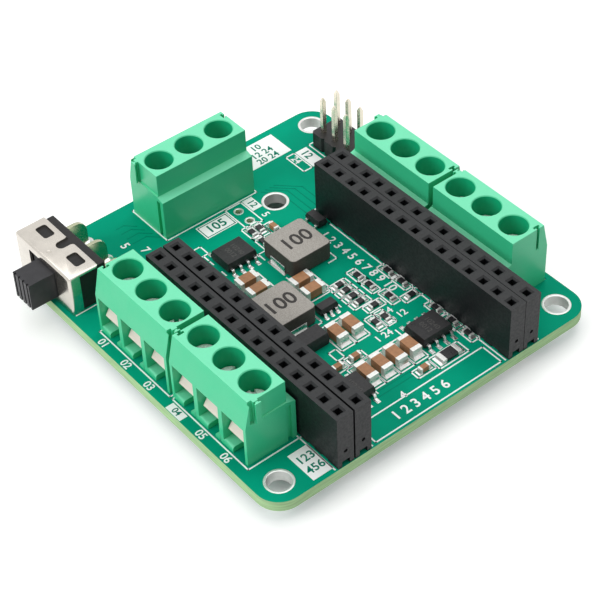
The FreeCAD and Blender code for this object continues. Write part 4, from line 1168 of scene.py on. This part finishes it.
@dataclass
class SocketStrip:
    """One socket strip of square wells, moulded in black plastic."""

    name: str
    count: int = 15
    pitch: float = 2.54
    hole: float = 0.88
    mouth: float = 1.4
    mouth_depth: float = 0.22

    def build(self, moulding: Blank) -> None:
        """Place one moulded strip."""
        low, high = box_mm(f"socket_{self.name}_housing")
        strip = Blank()
        strip.join(moulding, Matrix.Translation((low.x, (low.y + high.y) / 2, low.z)))
        strip.publish(f"socket_{self.name}_moulding", Finishes.strip, slot="black_plastic",
                      stands_for=[f"socket_{self.name}_housing"], edge=0.06, steps=2)

    def moulding(self) -> Blank:
        """Mould the strip from its end, on its own middle line."""
        low, high = box_mm(f"socket_{self.name}_housing")
        length, half, height = high.x - low.x, (high.y - low.y) / 2, high.z - low.z
        body = Blank()
        body.block((0, -half, 0), (length, half, height))
        wells, mouths, ends = Blank(), Blank(), Blank()
        hole, wide = self.hole / 2, self.mouth / 2
        for number in range(self.count):
            x = (number + 0.5) * self.pitch
            wells.block((x - hole, -hole, 1.2), (x + hole, hole, height + 1))
            flare = mouths.drum((x, 0.0), height - self.mouth_depth, height + self.mouth_depth,
                                hole * math.sqrt(2), (2 * wide - hole) * math.sqrt(2), steps=4)
            mouths.move(flare, Matrix.Translation((x, 0, 0)) @ Matrix.Rotation(math.pi / 4, 4, "Z")
                        @ Matrix.Translation((-x, 0, 0)))
        for x in (0.0, length):
            ends.block((x - 0.6, -0.6, -1), (x + 0.6, 0.6, 0.9))
            ends.drum((0.0, 2.5), x - 0.22, x + 0.22, 0.28, steps=24, axis=Axis.X)
        feet = Blank()
        for number in range(self.count - 1):
            x = (number + 1) * self.pitch
            feet.block((x - 0.62, -half - 1, -1), (x + 0.62, -half + 0.5, 0.25))
            feet.block((x - 0.62, half - 0.5, -1), (x + 0.62, half + 1, 0.25))
        body.carve(wells, mouths, ends, feet)
        return body


@dataclass
class PinHeader:
    """The two by three pin header."""

    columns: int = 3
    rows: int = 2
    pitch: float = 2.54
    pin: float = 0.64
    notch: float = 0.5

    def build(self) -> None:
        """Mould the body and stand the pins in it."""
        low, high = box_mm("pin_header_body")
        body = Blank()
        body.block(low, high)
        cuts = Blank()
        for number in range(self.columns + 1):
            x = low.x + number * self.pitch
            for y in (low.y, high.y):
                self.groove(cuts, (x, y), low.z, high.z)
        for number in range(1, self.rows):
            for x in (low.x, high.x):
                self.groove(cuts, (x, low.y + number * self.pitch), low.z, high.z)
        body.carve(cuts)
        body.publish("header_moulding", Finishes.header, slot="black_plastic", stands_for=["pin_header_body"],
                     edge=0.06)
        pins = Blank()
        base, tip = box_mm("pin_header_pins")
        half = self.pin / 2
        for column in range(self.columns):
            for row in range(self.rows):
                x, y = low.x + (column + 0.5) * self.pitch, low.y + (row + 0.5) * self.pitch
                self.square_pin(pins, (x, y), base.z, tip.z, half)
        pins.publish("header_pins", Finishes.pin, slot="gold_plated", stands_for=["pin_header_pins"], edge=0.04)

    def groove(self, cuts: Blank, spot: Spot, low: float, high: float) -> None:
        """Add the upright square that cuts one V groove."""
        verts = cuts.block((-self.notch / 2, -self.notch / 2, low - 1), (self.notch / 2, self.notch / 2, high + 1))
        cuts.move(verts, Matrix.Translation((*spot, 0)) @ Matrix.Rotation(math.pi / 4, 4, "Z"))

    def square_pin(self, pins: Blank, spot: Spot, low: float, high: float, half: float) -> None:
        """Add one square pin with a tapered tip at each end."""
        verts = pins.block((spot[0] - half, spot[1] - half, low + 0.5), (spot[0] + half, spot[1] + half, high - 0.55))
        skin = {face for vert in verts for face in vert.link_faces}
        for face in [item for item in skin if abs(item.normal.z) > 0.9]:
            up = 1.0 if face.normal.z > 0 else -1.0
            grown = bmesh.ops.extrude_discrete_faces(pins.bm, faces=[face])["faces"]
            ring = list(grown[0].verts)
            middle = Matrix.Translation((-spot[0], -spot[1], 0))
            bmesh.ops.scale(pins.bm, vec=(0.42, 0.42, 1), verts=ring, space=middle)
            bmesh.ops.translate(pins.bm, vec=(0, 0, up * (0.55 if up > 0 else 0.5)), verts=ring)


# ---------------------------------------------------------------------------
# Slide switch
# ---------------------------------------------------------------------------


@dataclass
class SlideSwitch:
    """The slide power switch: nickel shell, black base, ribbed knob and its legs."""

    sheet: float = 0.35
    flange: float = 1.65
    cover: float = 4.75
    window_start: float = 3.3
    window_width: float = 6.1
    window_low: float = 0.9
    window_high: float = 5.4
    port_width: float = 2.6
    port_depth: float = 1.65
    port_side: float = 1.5
    port_front: float = 2.2
    notch_width: float = 1.5
    notch_depth: float = 2.3
    knob_width: float = 3.8

    def build(self, frame: dict) -> None:
        """Make the switch's pieces."""
        self.low, self.high = box_mm("switch_shell")
        self.shell()
        base = solid_copy(frame, "switch_base")
        base.publish("switch_insulator", Finishes.insulator, slot="black_plastic", stands_for=["switch_base"],
                     edge=0.10)
        self.slider(frame)
        self.legs()
        bridge = solid_copy(frame, "switch_wiper")
        bridge.publish("switch_bridge", Finishes.gold, body="knob", slot="gold_plated",
                       stands_for=["switch_wiper"], edge=0.04)

    def shell(self) -> None:
        """Bend the nickel shell and punch its window, ports and notch."""
        low, high = self.low, self.high
        length, height = high.x - low.x, high.z - low.z
        skin = Blank()
        skin.block((0, 0, 0), (length, self.cover, height))
        folds = skin.edges_where(lambda co: co.y < 0.01 and co.z > height - 0.01)
        folds += skin.edges_where(lambda co: co.y < 0.01 and co.x < 0.01)
        folds += skin.edges_where(lambda co: co.y < 0.01 and co.x > length - 0.01)
        folds += skin.edges_where(lambda co: co.z > height - 0.01 and (co.x < 0.01 or co.x > length - 0.01)
                                  and co.y > -1)
        folds = [edge for edge in dict.fromkeys(folds) if edge.is_valid]
        skin.round_edges(0.42, 4, pick=folds)
        room = Blank()
        sheet = self.sheet
        room.block((sheet, sheet, -1), (length - sheet, self.cover + 1, height - sheet))
        sides = Blank()
        for x in (-1.0, length - sheet - 0.001):
            sides.block((x, self.flange, -1), (x + 1 + sheet + 0.001, self.cover + 1, height - sheet))
        window = Blank()
        window.block((self.window_start, -1, self.window_low),
                     (self.window_start + self.window_width, sheet + 0.5, self.window_high))
        window.round_edges(0.22, 3, pick=[edge for edge in window.bm.edges
                                          if abs(edge.verts[0].co.y - edge.verts[1].co.y) > 1])
        ports = Blank()
        for x in (self.port_side, length - self.port_side - self.port_width):
            verts = ports.block((x, self.port_front, height - 1), (x + self.port_width, self.port_front + self.port_depth,
                                                                 height + 1))
            upright = [edge for edge in {edge for vert in verts for edge in vert.link_edges}
                       if abs(edge.verts[0].co.z - edge.verts[1].co.z) > 1]
            ports.round_edges(0.4, 4, pick=upright)
        notch = Blank()
        middle, half = length / 2, self.notch_width / 2
        start = self.cover - self.notch_depth + half
        notch.block((middle - half, start, height - 1), (middle + half, self.cover + 1, height + 1))
        arc = Blank()
        arc.drum((middle, start), height - 1, height + 1, half, steps=32)
        dent = Blank()
        dent.lathe([(0.0, height - 0.10), (0.25, height - 0.08), (0.42, height + 0.05), (0.0, height + 0.05)],
                   (middle, 1.25), 24)
        corners = [self.rim_corner(0.0, 1), self.rim_corner(middle - half, -1), self.rim_corner(middle + half, 1),
                   self.rim_corner(length, -1)]
        skin.carve(room, sides, window, ports, notch, arc, dent, *corners)
        skin.move(skin.bm.verts, Matrix.Translation(low))
        skin.publish("switch_nickel_shell", Finishes.nickel, slot="nickel_sheet", stands_for=["switch_shell"],
                     edge=0.05, steps=2)

    def rim_corner(self, x: float, inward: int, radius: float = 0.7) -> Blank:
        """Return what rounds one corner of the shell's top behind.

        Args:
            x: where the corner is along the shell.
            inward: the way from it to the sheet, 1 or -1.
            radius: the rounding's radius.
        """
        height = self.high.z - self.low.z
        ends = sorted((x - inward, x + inward * radius))
        spare = Blank()
        spare.block((ends[0], self.cover - radius, height - 1), (ends[1], self.cover + 1, height + 1))
        past = Blank()
        past.block((min(x, ends[0]) - 1, self.cover - radius, height - 2), (x, self.cover + 2, height + 2)) \
            if inward > 0 else past.block((x, self.cover - radius, height - 2), (ends[1] + 1, self.cover + 2, height + 2))
        disc = Blank()
        disc.drum((x + inward * radius, self.cover - radius), height - 2, height + 2, radius, steps=48)
        spare.carve(past, disc)
        return spare

    def legs(self) -> None:
        """Stamp the three flat legs that stand behind the base and pass through the board."""
        low, high = box_mm("switch_legs")
        back, tail, reach, seat = self.low.y + 4.85, high.y - 0.3, high.y + 2.3, self.low.z + 0.03
        rise, turn = self.low.z + 4.05, 1.75
        bend = [math.radians(90) * step / 10 for step in range(11)]
        outline = [(back, rise)]
        outline += [(reach - turn + turn * math.sin(angle), rise - turn + turn * math.cos(angle)) for angle in bend]
        outline += [(reach, seat), (high.y, seat), (high.y, low.z), (tail, low.z), (tail, seat), (back, seat)]
        strips = Blank()
        for number in (-1, 0, 1):
            x = (low.x + high.x) / 2 + number * 4.7
            strips.extrusion(outline, x - 0.28, x + 0.28)
        strips.publish("switch_leg_strips", Finishes.leg, slot="tinned_metal", stands_for=["switch_legs"],
                       edge=0.05)

    def slider(self, frame: dict) -> None:
        """Mould the knob with its ribbed end, over a copy of the hidden wing."""
        low, high = box_mm("switch_knob")
        back = self.low.y + self.sheet + 0.1
        half = self.knob_width / 2
        middle = (low.x + high.x) / 2
        stem_low = self.low.z + self.window_low + 0.15
        stem_high = stem_low + 4.2
        stem = Blank()
        stem.block((middle - half, low.y, stem_low), (middle + half, back + 0.3, stem_high))
        ribs = Blank()
        for number in range(4):
            x = middle - half + (number + 0.5) * self.knob_width / 4
            ribs.block((x - 0.15, low.y - 1, stem_low - 1), (x + 0.15, low.y + 0.26, stem_high + 1))
        stem.carve(ribs)
        rear = Blank()
        rear.block((low.x, back, low.z), (high.x, high.y, high.z))
        stem.carve(rear, add=True)
        stem.publish("switch_ribbed_knob", Finishes.knob, body="knob", slot="black_plastic",
                     stands_for=["switch_knob"], edge=0.09)


# ---------------------------------------------------------------------------
# Surface mounted parts and solder
# ---------------------------------------------------------------------------


@dataclass
class SurfaceParts:
    """Chips, inductors, capacitors and resistors with their pads and fillets."""

    board: CircuitBoard
    band: float = 0.21

    def build(self, frame: dict) -> None:
        """Make all the surface mounted parts."""
        self.pads = Blank()
        self.fillets = Blank()
        self.chips(frame)
        self.inductors(frame)
        self.two_ended(frame, "capacitors", "capacitor_chips", Finishes.ceramic, "capacitor_ceramic")
        self.two_ended(frame, "resistors", "resistor_chips", Finishes.film, "resistor_body")
        self.pads.publish("tinned_pads", Finishes.pad, slot="tinned_metal", edge=0.02)
        self.fillets.publish("part_fillets", Finishes.solder, slot="tinned_metal", smooth=60)

    def pad(self, low: Spot, high: Spot) -> None:
        """Lay one tinned pad on the board."""
        self.pads.block((*low, self.board.top - 0.02), (*high, self.board.top + 0.05))

    def chips(self, frame: dict) -> None:
        """Mould the chips with a parting line, draft and a pin mark, and bend their leads."""
        bodies = solids_of(frame, "chips")
        resin, marks = Blank(), Blank()
        for low, high in bodies:
            one = Blank()
            one.block(low, high)
            middle = (low + high) / 2
            bmesh.ops.bisect_plane(one.bm, geom=one.bm.verts[:] + one.bm.edges[:] + one.bm.faces[:], dist=1e-5,
                                   plane_co=middle, plane_no=(0, 0, 1))
            for level, shrink in ((high.z, 0.17), (low.z, 0.12)):
                ring = [vert for vert in one.bm.verts if abs(vert.co.z - level) < 1e-4]
                size = high - low
                bmesh.ops.scale(one.bm, vec=(1 - shrink * 2 / size.x, 1 - shrink * 2 / size.y, 1), verts=ring,
                                space=Matrix.Translation(-middle))
            if high.x - low.x > 3:
                marks.drum((low.x + 0.85, low.y + 0.85), high.z - 0.06, high.z + 0.2, 0.32, steps=24)
            resin.join(one)
        resin.carve(marks)
        resin.publish("chip_mouldings", Finishes.chip, slot="chip_resin", stands_for=["chips"], edge=0.05)
        writer, marking = Legend(self.board), Blank()
        for low, high in bodies:
            if high.x - low.x > 3:
                middle, level = (low + high) / 2, high.z - self.board.top - 0.022
                writer.number("10240", (middle.x + 0.1, middle.y + 0.5), 0.75, target=marking, level=level)
                writer.number("0012", (middle.x + 0.1, middle.y - 0.6), 0.75, target=marking, level=level)
        marking.publish("chip_numbers", Finishes.chip_mark, slot="chip_resin", smooth=20)
        writer.ink.bm.free()
        leads = Blank()
        for low, high in solids_of(frame, "chip_leads"):
            self.lead(leads, low, high, bodies)
        leads.publish("gull_wing_leads", Finishes.lead, slot="tinned_metal", stands_for=["chip_leads"], edge=0.03)

    def lead(self, leads: Blank, low: Vector, high: Vector, bodies: Sequence[Corners]) -> None:
        """Bend one gull wing lead in the space of its CAD solid.

        Args:
            leads: what the lead is added to.
            low: the lowest corner of its space.
            high: the highest corner of its space.
            bodies: the corners of every chip.
        """
        middle = (low + high) / 2
        owner = min(bodies, key=lambda pair: ((pair[0] + pair[1]) / 2 - middle).length)
        out = middle - (owner[0] + owner[1]) / 2
        spread = owner[1] - owner[0]
        along_x = abs(out.x) / spread.x > abs(out.y) / spread.y
        reach = (high.x - low.x) if along_x else (high.y - low.y)
        wide = (high.y - low.y) if along_x else (high.x - low.x)
        rise, thick = high.z - low.z, 0.18
        bend = reach * 0.42
        outline = [(-0.25, rise), (bend * 0.75, rise), (bend * 1.0, rise - 0.10), (bend * 1.28, thick + 0.06),
                   (bend * 1.45, thick), (reach, thick), (reach, 0.02), (bend * 1.25, 0.02),
                   (bend * 1.02, 0.12), (bend * 0.72, rise - thick - 0.06), (bend * 0.6, rise - thick),
                   (-0.25, rise - thick)]
        one = Blank()
        one.extrusion(outline, -wide / 2, wide / 2, Axis.Y)
        if along_x:
            turn, root = (0.0, low.x) if out.x > 0 else (math.pi, high.x)
            spot = (root, middle.y, low.z)
        else:
            turn, root = (math.pi / 2, low.y) if out.y > 0 else (-math.pi / 2, high.y)
            spot = (middle.x, root, low.z)
        place = Matrix.Translation(spot) @ Matrix.Rotation(turn, 4, "Z")
        leads.join(one, place)
        foot = place @ Vector((reach * 0.78, 0, 0))
        half = Vector((reach * 0.42, wide * 0.72)) if along_x else Vector((wide * 0.72, reach * 0.42))
        self.pad((foot.x - half.x, foot.y - half.y), (foot.x + half.x, foot.y + half.y))
        toe = Blank()
        toe.extrusion([(reach - 0.02, 0.16), (reach + 0.05, 0.08), (reach + 0.20, 0.03), (reach + 0.20, 0.0),
                       (reach - 0.02, 0.0)], -wide * 0.5, wide * 0.5, Axis.Y)
        self.fillets.join(toe, place)

    def inductors(self, frame: dict) -> None:
        """Press the inductor bodies, print a plain number on each, copy their tabs and lay pads under them."""
        bodies, prints = Blank(), Blank()
        writer = Legend(self.board)
        for low, high in solids_of(frame, "power_inductors"):
            one = Blank()
            one.block(low, high)
            upright = [edge for edge in one.bm.edges if abs(edge.verts[0].co.z - edge.verts[1].co.z) > 1]
            one.round_edges(0.62, 4, pick=upright)
            bodies.join(one)
            middle = (low + high) / 2
            writer.number("100", (middle.x, middle.y), 2.3, 90, target=prints,
                          level=high.z - self.board.top - 0.002)
        bodies.publish("pressed_inductors", Finishes.coil, slot="inductor_body", stands_for=["power_inductors"],
                       edge=0.16, steps=3)
        prints.publish("inductor_numbers", Finishes.coil_ink, slot="inductor_body", smooth=20)
        writer.ink.bm.free()
        tabs = solid_copy(frame, "inductor_tabs")
        tabs.publish("inductor_tab_strips", Finishes.lead, slot="tinned_metal", stands_for=["inductor_tabs"],
                     edge=0.05)
        for low, high in solids_of(frame, "inductor_tabs"):
            self.pad((low.x - 0.3, low.y - 0.3), (high.x + 0.3, high.y + 0.3))

    def two_ended(self, frame: dict, node: str, name: str, finish: Finish, slot: str) -> None:
        """Make the bodies and end caps of two ended chips.

        Args:
            node: the CAD node that holds them.
            name: the piece's name.
            finish: finish of the bodies.
            slot: the record's material slot of the bodies.
        """
        middles, caps = Blank(), Blank()
        for low, high in solids_of(frame, node):
            size = high - low
            axis = 0 if size.x > size.y else 1
            band = size[axis] * self.band
            inner_low, inner_high = low.copy(), high.copy()
            inner_low[axis] += band * 0.8
            inner_high[axis] -= band * 0.8
            for part in (0, 1, 2):
                if part != axis:
                    inner_low[part] += 0.02
                    inner_high[part] -= 0.02
            inner_low.z = low.z + 0.05
            middles.block(inner_low, inner_high)
            for side in (0, 1):
                cap_low, cap_high = low.copy(), high.copy()
                if side:
                    cap_low[axis] = high[axis] - band
                else:
                    cap_high[axis] = low[axis] + band
                caps.block(cap_low, cap_high)
                self.land(low, high, axis, side, band)
        middles.publish(name, finish, slot=slot, stands_for=[node], edge=0.05, steps=2)
        caps.publish(f"{name}_end_caps", Finishes.end_cap, slot="tinned_metal", edge=0.07, steps=3)

    def land(self, low: Vector, high: Vector, axis: int, side: int, band: float) -> None:
        """Lay the pad and the solder fillet at one end of a part."""
        size = high - low
        across = 1 - axis
        reach = 0.22 + size[axis] * 0.09
        outer = high[axis] if side else low[axis]
        sign = 1 if side else -1
        pad_low, pad_high = [0.0, 0.0], [0.0, 0.0]
        ends = sorted((outer - sign * band * 0.8, outer + sign * reach))
        pad_low[axis], pad_high[axis] = ends
        pad_low[across], pad_high[across] = low[across] - 0.08, high[across] + 0.08
        self.pad(tuple(pad_low), tuple(pad_high))
        rise = size.z * 0.62
        half = size[across] / 2 - 0.04
        one = Blank()
        one.extrusion([(-0.03, rise), (reach * 0.16, rise * 0.52), (reach * 0.42, rise * 0.22),
                       (reach * 0.9, 0.07), (reach * 0.9, 0.0), (-0.03, 0.0)], -half, half, Axis.Y)
        middle = (low + high) / 2
        spot = [middle.x, middle.y, low.z]
        spot[axis] = outer
        turn = (0.0 if side else math.pi) + (math.pi / 2 if axis else 0.0)
        self.fillets.join(one, Matrix.Translation(spot) @ Matrix.Rotation(turn, 4, "Z"))


@dataclass
class ThroughSolder:
    """Solder cones and rings at every pin that passes through the board."""

    board: CircuitBoard
    blocks: Sequence[TerminalBlock]

    def build(self) -> None:
        """Add a cone under every pin and a bright ring over those that show from above."""
        cones, rings = Blank(), Blank()
        for name in ("front_outer", "front_inner", "back_inner", "back_outer"):
            low, high = box_mm(f"socket_{name}_housing")
            for number in range(15):
                self.cone(cones, (low.x + (number + 0.5) * 2.54, (low.y + high.y) / 2), 0.82, 0.36, 1.0)
        for block in self.blocks:
            place = block.place()
            for pole in range(block.poles):
                spot = place @ Vector((block.centre(pole), 4.1, 0))
                self.cone(cones, (spot.x, spot.y), 1.25, 0.62, 1.3)
        low = box_mm("pin_header_body")[0]
        for column in range(3):
            for row in range(2):
                self.cone(cones, (low.x + (column + 0.5) * 2.54, low.y + (row + 0.5) * 2.54), 0.82, 0.38, 1.0)
        low, high = box_mm("switch_legs")
        for number in (-1, 0, 1):
            x = (low.x + high.x) / 2 + number * 4.7
            self.cone(cones, (x, high.y - 0.15), 1.15, 0.7, 0.8)
            self.collar(rings, (x, high.y - 0.15), 1.2)
            self.collar(rings, (x, high.y + 2.1), 0.95)
        cones.publish("underside_solder", Finishes.solder, slot="tinned_metal", smooth=60)
        rings.publish("leg_solder_collars", Finishes.solder, slot="tinned_metal", smooth=60)

    def cone(self, blank: Blank, spot: Spot, radius: float, neck: float, rise: float) -> None:
        """Add one concave cone of solder under the board."""
        base = self.board.low.z
        blank.lathe([(0.0, base + 0.02), (radius, base + 0.02), (radius, base - 0.05),
                     (radius * 0.80, base - rise * 0.22), (neck * 1.15, base - rise * 0.62), (neck * 0.9, base - rise),
                     (0.0, base - rise * 1.06)], spot, 20)

    def collar(self, blank: Blank, spot: Spot, radius: float) -> None:
        """Add one low ring of solder on the upper face."""
        base = self.board.top
        blank.lathe([(0.0, base + 0.42), (radius * 0.5, base + 0.34), (radius * 0.75, base + 0.14),
                     (radius, base + 0.05), (radius, base - 0.02), (0.0, base - 0.02)], spot, 24)


# ---------------------------------------------------------------------------
# Studio
# ---------------------------------------------------------------------------


@dataclass
class Studio:
    """Camera, floor, lamps and the white surroundings."""

    azimuth: float = 52.78
    elevation: float = 43.59
    roll: float = -2.739
    distance: float = 240.33
    aim: Point = (-22.538, 21.511, 1.6)
    lens: float = 110.278
    ambient: float = 0.45

    def build(self) -> None:
        """Set up the whole studio."""
        bpy.context.scene.view_settings.view_transform = "Standard"
        self.camera()
        self.floor()
        self.world()
        self.lamp("top_softbox", (-0.08, 0.04, 0.62), 0.70, 1.9)
        self.lamp("back_softbox", (-0.26, 0.44, 0.46), 0.50, 1.3, mirrored=False)
        self.lamp("front_softbox", (-0.16, -0.52, 0.34), 0.40, 2.0, mirrored=False)

    def camera(self) -> None:
        """Stand the camera on its bearing, tilted by its small roll."""
        turn, rise = math.radians(self.azimuth), math.radians(self.elevation)
        back = Vector((math.sin(turn) * math.cos(rise), -math.cos(turn) * math.cos(rise), math.sin(rise)))
        camera = bpy.data.objects.new("camera", bpy.data.cameras.new("camera"))
        camera.data.lens, camera.data.sensor_width = self.lens, 36.0
        camera.data.clip_start, camera.data.clip_end = 0.01, 10.0
        camera.location = (Vector(self.aim) + back * self.distance) * MM
        camera.rotation_mode = "QUATERNION"
        level = (-back).to_track_quat("-Z", "Y")
        camera.rotation_quaternion = level @ Quaternion((0, 0, 1), math.radians(self.roll))
        bpy.context.scene.collection.objects.link(camera)
        bpy.context.scene.camera = camera

    def floor(self) -> None:
        """Lay the plain pale floor just under the longest pins, its glow taken away under the board as a painted
        shadow.
        """
        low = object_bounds()[0]
        blank = Blank()
        bmesh.ops.create_grid(blank.bm, x_segments=1, y_segments=1, size=2.0,
                              matrix=Matrix.Translation((0, 0, low[2] - 0.00002)))
        mesh = blank.as_mesh()
        blank.bm.free()
        finish = bpy.data.materials.new("pale_floor")
        wires = Wiring(finish)
        path = wires.add("ShaderNodeLightPath")
        seen = wires.math("MAXIMUM", path.outputs["Is Camera Ray"],
                          wires.math("MAXIMUM", path.outputs["Is Glossy Ray"], path.outputs["Is Transmission Ray"]))
        plain = wires.add("ShaderNodeBsdfDiffuse", color=(0.82, 0.82, 0.82, 1.0))
        # the floor's glow fades out under the board: painted shadow
        glow_after_painted_shadow = wires.math("MULTIPLY", self.painted_shadow_falloff(wires), 0.29)
        glow = wires.add("ShaderNodeEmission", color=(1.0, 1.0, 1.0, 1.0), strength=wires.math("MULTIPLY", seen, glow_after_painted_shadow))
        both = wires.tree.nodes.new("ShaderNodeAddShader")
        wires.tree.links.new(plain.outputs[0], both.inputs[0])
        wires.tree.links.new(glow.outputs[0], both.inputs[1])
        wires.close(both)
        mesh.materials.append(finish)
        ground = bpy.data.objects.new("floor", mesh)
        bpy.context.scene.collection.objects.link(ground)
        ground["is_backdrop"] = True

    def painted_shadow_falloff(self, wires: Wiring) -> bpy.types.NodeSocket:
        """Return 0 on the floor under the board's middle, and 1 away from the board: a painted shadow that takes the
        floor's glow away under the board.

        Args:
            wires: the wiring of the floor's material.

        Returns:
            The output that carries it.
        """
        low, high = box_mm("circuit_board")
        point = wires.add("ShaderNodeSeparateXYZ", vector=wires.millimetres())
        beyond = []
        for axis in (0, 1):
            middle, half = (low[axis] + high[axis]) / 2, (high[axis] - low[axis]) / 2 - 9.0
            away = wires.math("ABSOLUTE", wires.math("SUBTRACT", point.outputs[axis], middle))
            beyond.append(wires.math("MAXIMUM", wires.math("SUBTRACT", away, half), 0.0))
        return wires.ramp(wires.math("MAXIMUM", *beyond), 0.0, 9.0)

    def world(self) -> None:
        """Surround the board with plain light that the camera and gloss see as white."""
        world = bpy.data.worlds.new("surroundings")
        bpy.context.scene.world = world
        wires = Wiring(world)
        path = wires.add("ShaderNodeLightPath")
        seen = wires.math("MAXIMUM", path.outputs["Is Camera Ray"],
                          wires.math("MAXIMUM", path.outputs["Is Glossy Ray"], path.outputs["Is Transmission Ray"]))
        strength = wires.ramp(seen, 0.0, 1.0, self.ambient, 1.0)
        air = wires.add("ShaderNodeBackground", color=(1.0, 1.0, 1.0, 1.0), strength=strength)
        wires.close(air, "ShaderNodeOutputWorld")

    def lamp(self, name: str, spot: Point, size: float, energy: float, mirrored: bool = True) -> None:
        """Hang one square softbox that looks at the board.

        Args:
            name: the lamp's name.
            spot: where it hangs, in metres from the board's middle.
            size: length of its side in metres.
            energy: its power in watts.
            mirrored: whether bright metal shows it.
        """
        light = bpy.data.lights.new(name, "AREA")
        light.shape, light.size, light.energy = "SQUARE", size, energy
        lamp = bpy.data.objects.new(name, light)
        centre = Vector(self.aim) * MM
        lamp.location = centre + Vector(spot)
        lamp.visible_glossy = mirrored
        lamp.rotation_mode = "QUATERNION"
        lamp.rotation_quaternion = (-Vector(spot)).to_track_quat("-Z", "Y")
        bpy.context.scene.collection.objects.link(lamp)


def main() -> None:
    """Build the board's pieces and its studio."""
    logging.basicConfig(level=logging.INFO, format="%(message)s")
    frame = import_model()
    studio = Studio()
    studio.build()
    board = CircuitBoard()
    board.build(frame)
    Legend(board).build(frame)
    blocks = [TerminalBlock("front_left", Facing.FRONT), TerminalBlock("front_right", Facing.FRONT),
              TerminalBlock("left", Facing.LEFT), TerminalBlock("back_left", Facing.BACK),
              TerminalBlock("back_right", Facing.BACK)]
    moulding, guard, screw = blocks[0].moulding(), blocks[0].guard(), blocks[0].screw()
    for block in blocks:
        block.build(frame, moulding, guard, screw)
    strips = [SocketStrip(name) for name in ("front_outer", "front_inner", "back_inner", "back_outer")]
    strip_moulding = strips[0].moulding()
    for strip in strips:
        strip.build(strip_moulding)
    contacts = frame["nodes"]["socket_contacts"]
    contacts.data.materials.clear()
    contacts.data.materials.append(Finishes.gold.material())
    PinHeader().build()
    SlideSwitch().build(frame)
    SurfaceParts(board).build(frame)
    ThroughSolder(board, blocks).build()


if __name__ == "__main__":
    main()
